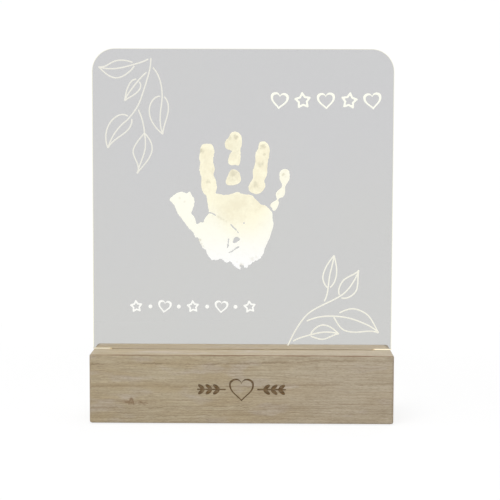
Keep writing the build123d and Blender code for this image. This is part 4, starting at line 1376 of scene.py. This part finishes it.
def add_camera(stage):
    """The camera at the picture's angle."""
    camera = bpy.data.cameras.new("Camera")
    camera.sensor_fit = "HORIZONTAL"
    camera.sensor_width = SENSOR_WIDTH
    camera.lens = stage.focal_pixels / PICTURE_SIZE * SENSOR_WIDTH
    camera.clip_start = 0.01
    holder = bpy.data.objects.new("Camera", camera)
    bpy.context.scene.collection.objects.link(holder)
    holder.matrix_world = (
        Matrix.Translation(stage.camera_place)
        @ Matrix.Rotation(stage.turn, 4, "Z")
        @ Matrix.Rotation(pi / 2 - stage.pitch, 4, "X")
        @ Matrix.Rotation(stage.roll, 4, "Z")
    )
    bpy.context.scene.camera = holder


class OBJECT_OT_lamp_stage(LampOperator, bpy.types.Operator):
    """Build the floor, the lamps and the camera"""

    bl_idname = "object.lamp_stage"
    bl_label = "Stage"

    def make(self, scene):
        stage = scene.lamp_stage
        add_floor(scene)
        scene.world = white_world(stage.ambient)
        for name, place, size, setting in LAMPS:
            add_lamp(scene, name, place, size, getattr(stage, setting))
        add_camera(stage)
        scene.view_settings.view_transform = "Standard"


OPERATORS = [
    OBJECT_OT_lamp_stage, OBJECT_OT_lamp_base, OBJECT_OT_lamp_plate, OBJECT_OT_lamp_handprint,
    OBJECT_OT_lamp_lines, OBJECT_OT_lamp_lights, OBJECT_OT_lamp_underside, OBJECT_OT_lamp_screws,
    OBJECT_OT_lamp_panel, OBJECT_OT_lamp_switch, OBJECT_OT_lamp_board,
]
SETTINGS = {
    "lamp_wood": WoodSettings, "lamp_plate": PlateSettings, "lamp_ink": InkSettings,
    "lamp_fittings": FittingSettings, "lamp_stage": StageSettings,
}


class VIEW3D_PT_lamp(bpy.types.Panel):
    """The lamp's operators and settings"""

    bl_label = "Handprint Lamp"
    bl_space_type = "VIEW_3D"
    bl_region_type = "UI"
    bl_category = "Handprint Lamp"

    def draw(self, context):
        """Lists the operators, and then each group of settings."""
        for operator in OPERATORS:
            self.layout.operator(operator.bl_idname)
        for name, group in SETTINGS.items():
            box = self.layout.box()
            box.label(text=group.__doc__)
            for key in group.__annotations__:
                box.prop(getattr(context.scene, name), key)


CLASSES = [*SETTINGS.values(), *OPERATORS, VIEW3D_PT_lamp]


def register():
    """Registers the classes and gives the scene its settings."""
    for item in CLASSES:
        bpy.utils.register_class(item)
    for name, group in SETTINGS.items():
        setattr(bpy.types.Scene, name, PointerProperty(type=group))


def unregister():
    """Takes away what register() adds."""
    for name in SETTINGS:
        delattr(bpy.types.Scene, name)
    for item in reversed(CLASSES):
        bpy.utils.unregister_class(item)


def main():
    """Builds the whole lamp."""
    register()
    for operator in OPERATORS:
        family, name = operator.bl_idname.split(".")
        getattr(getattr(bpy.ops, family), name)()


if __name__ == "__main__":
    main()
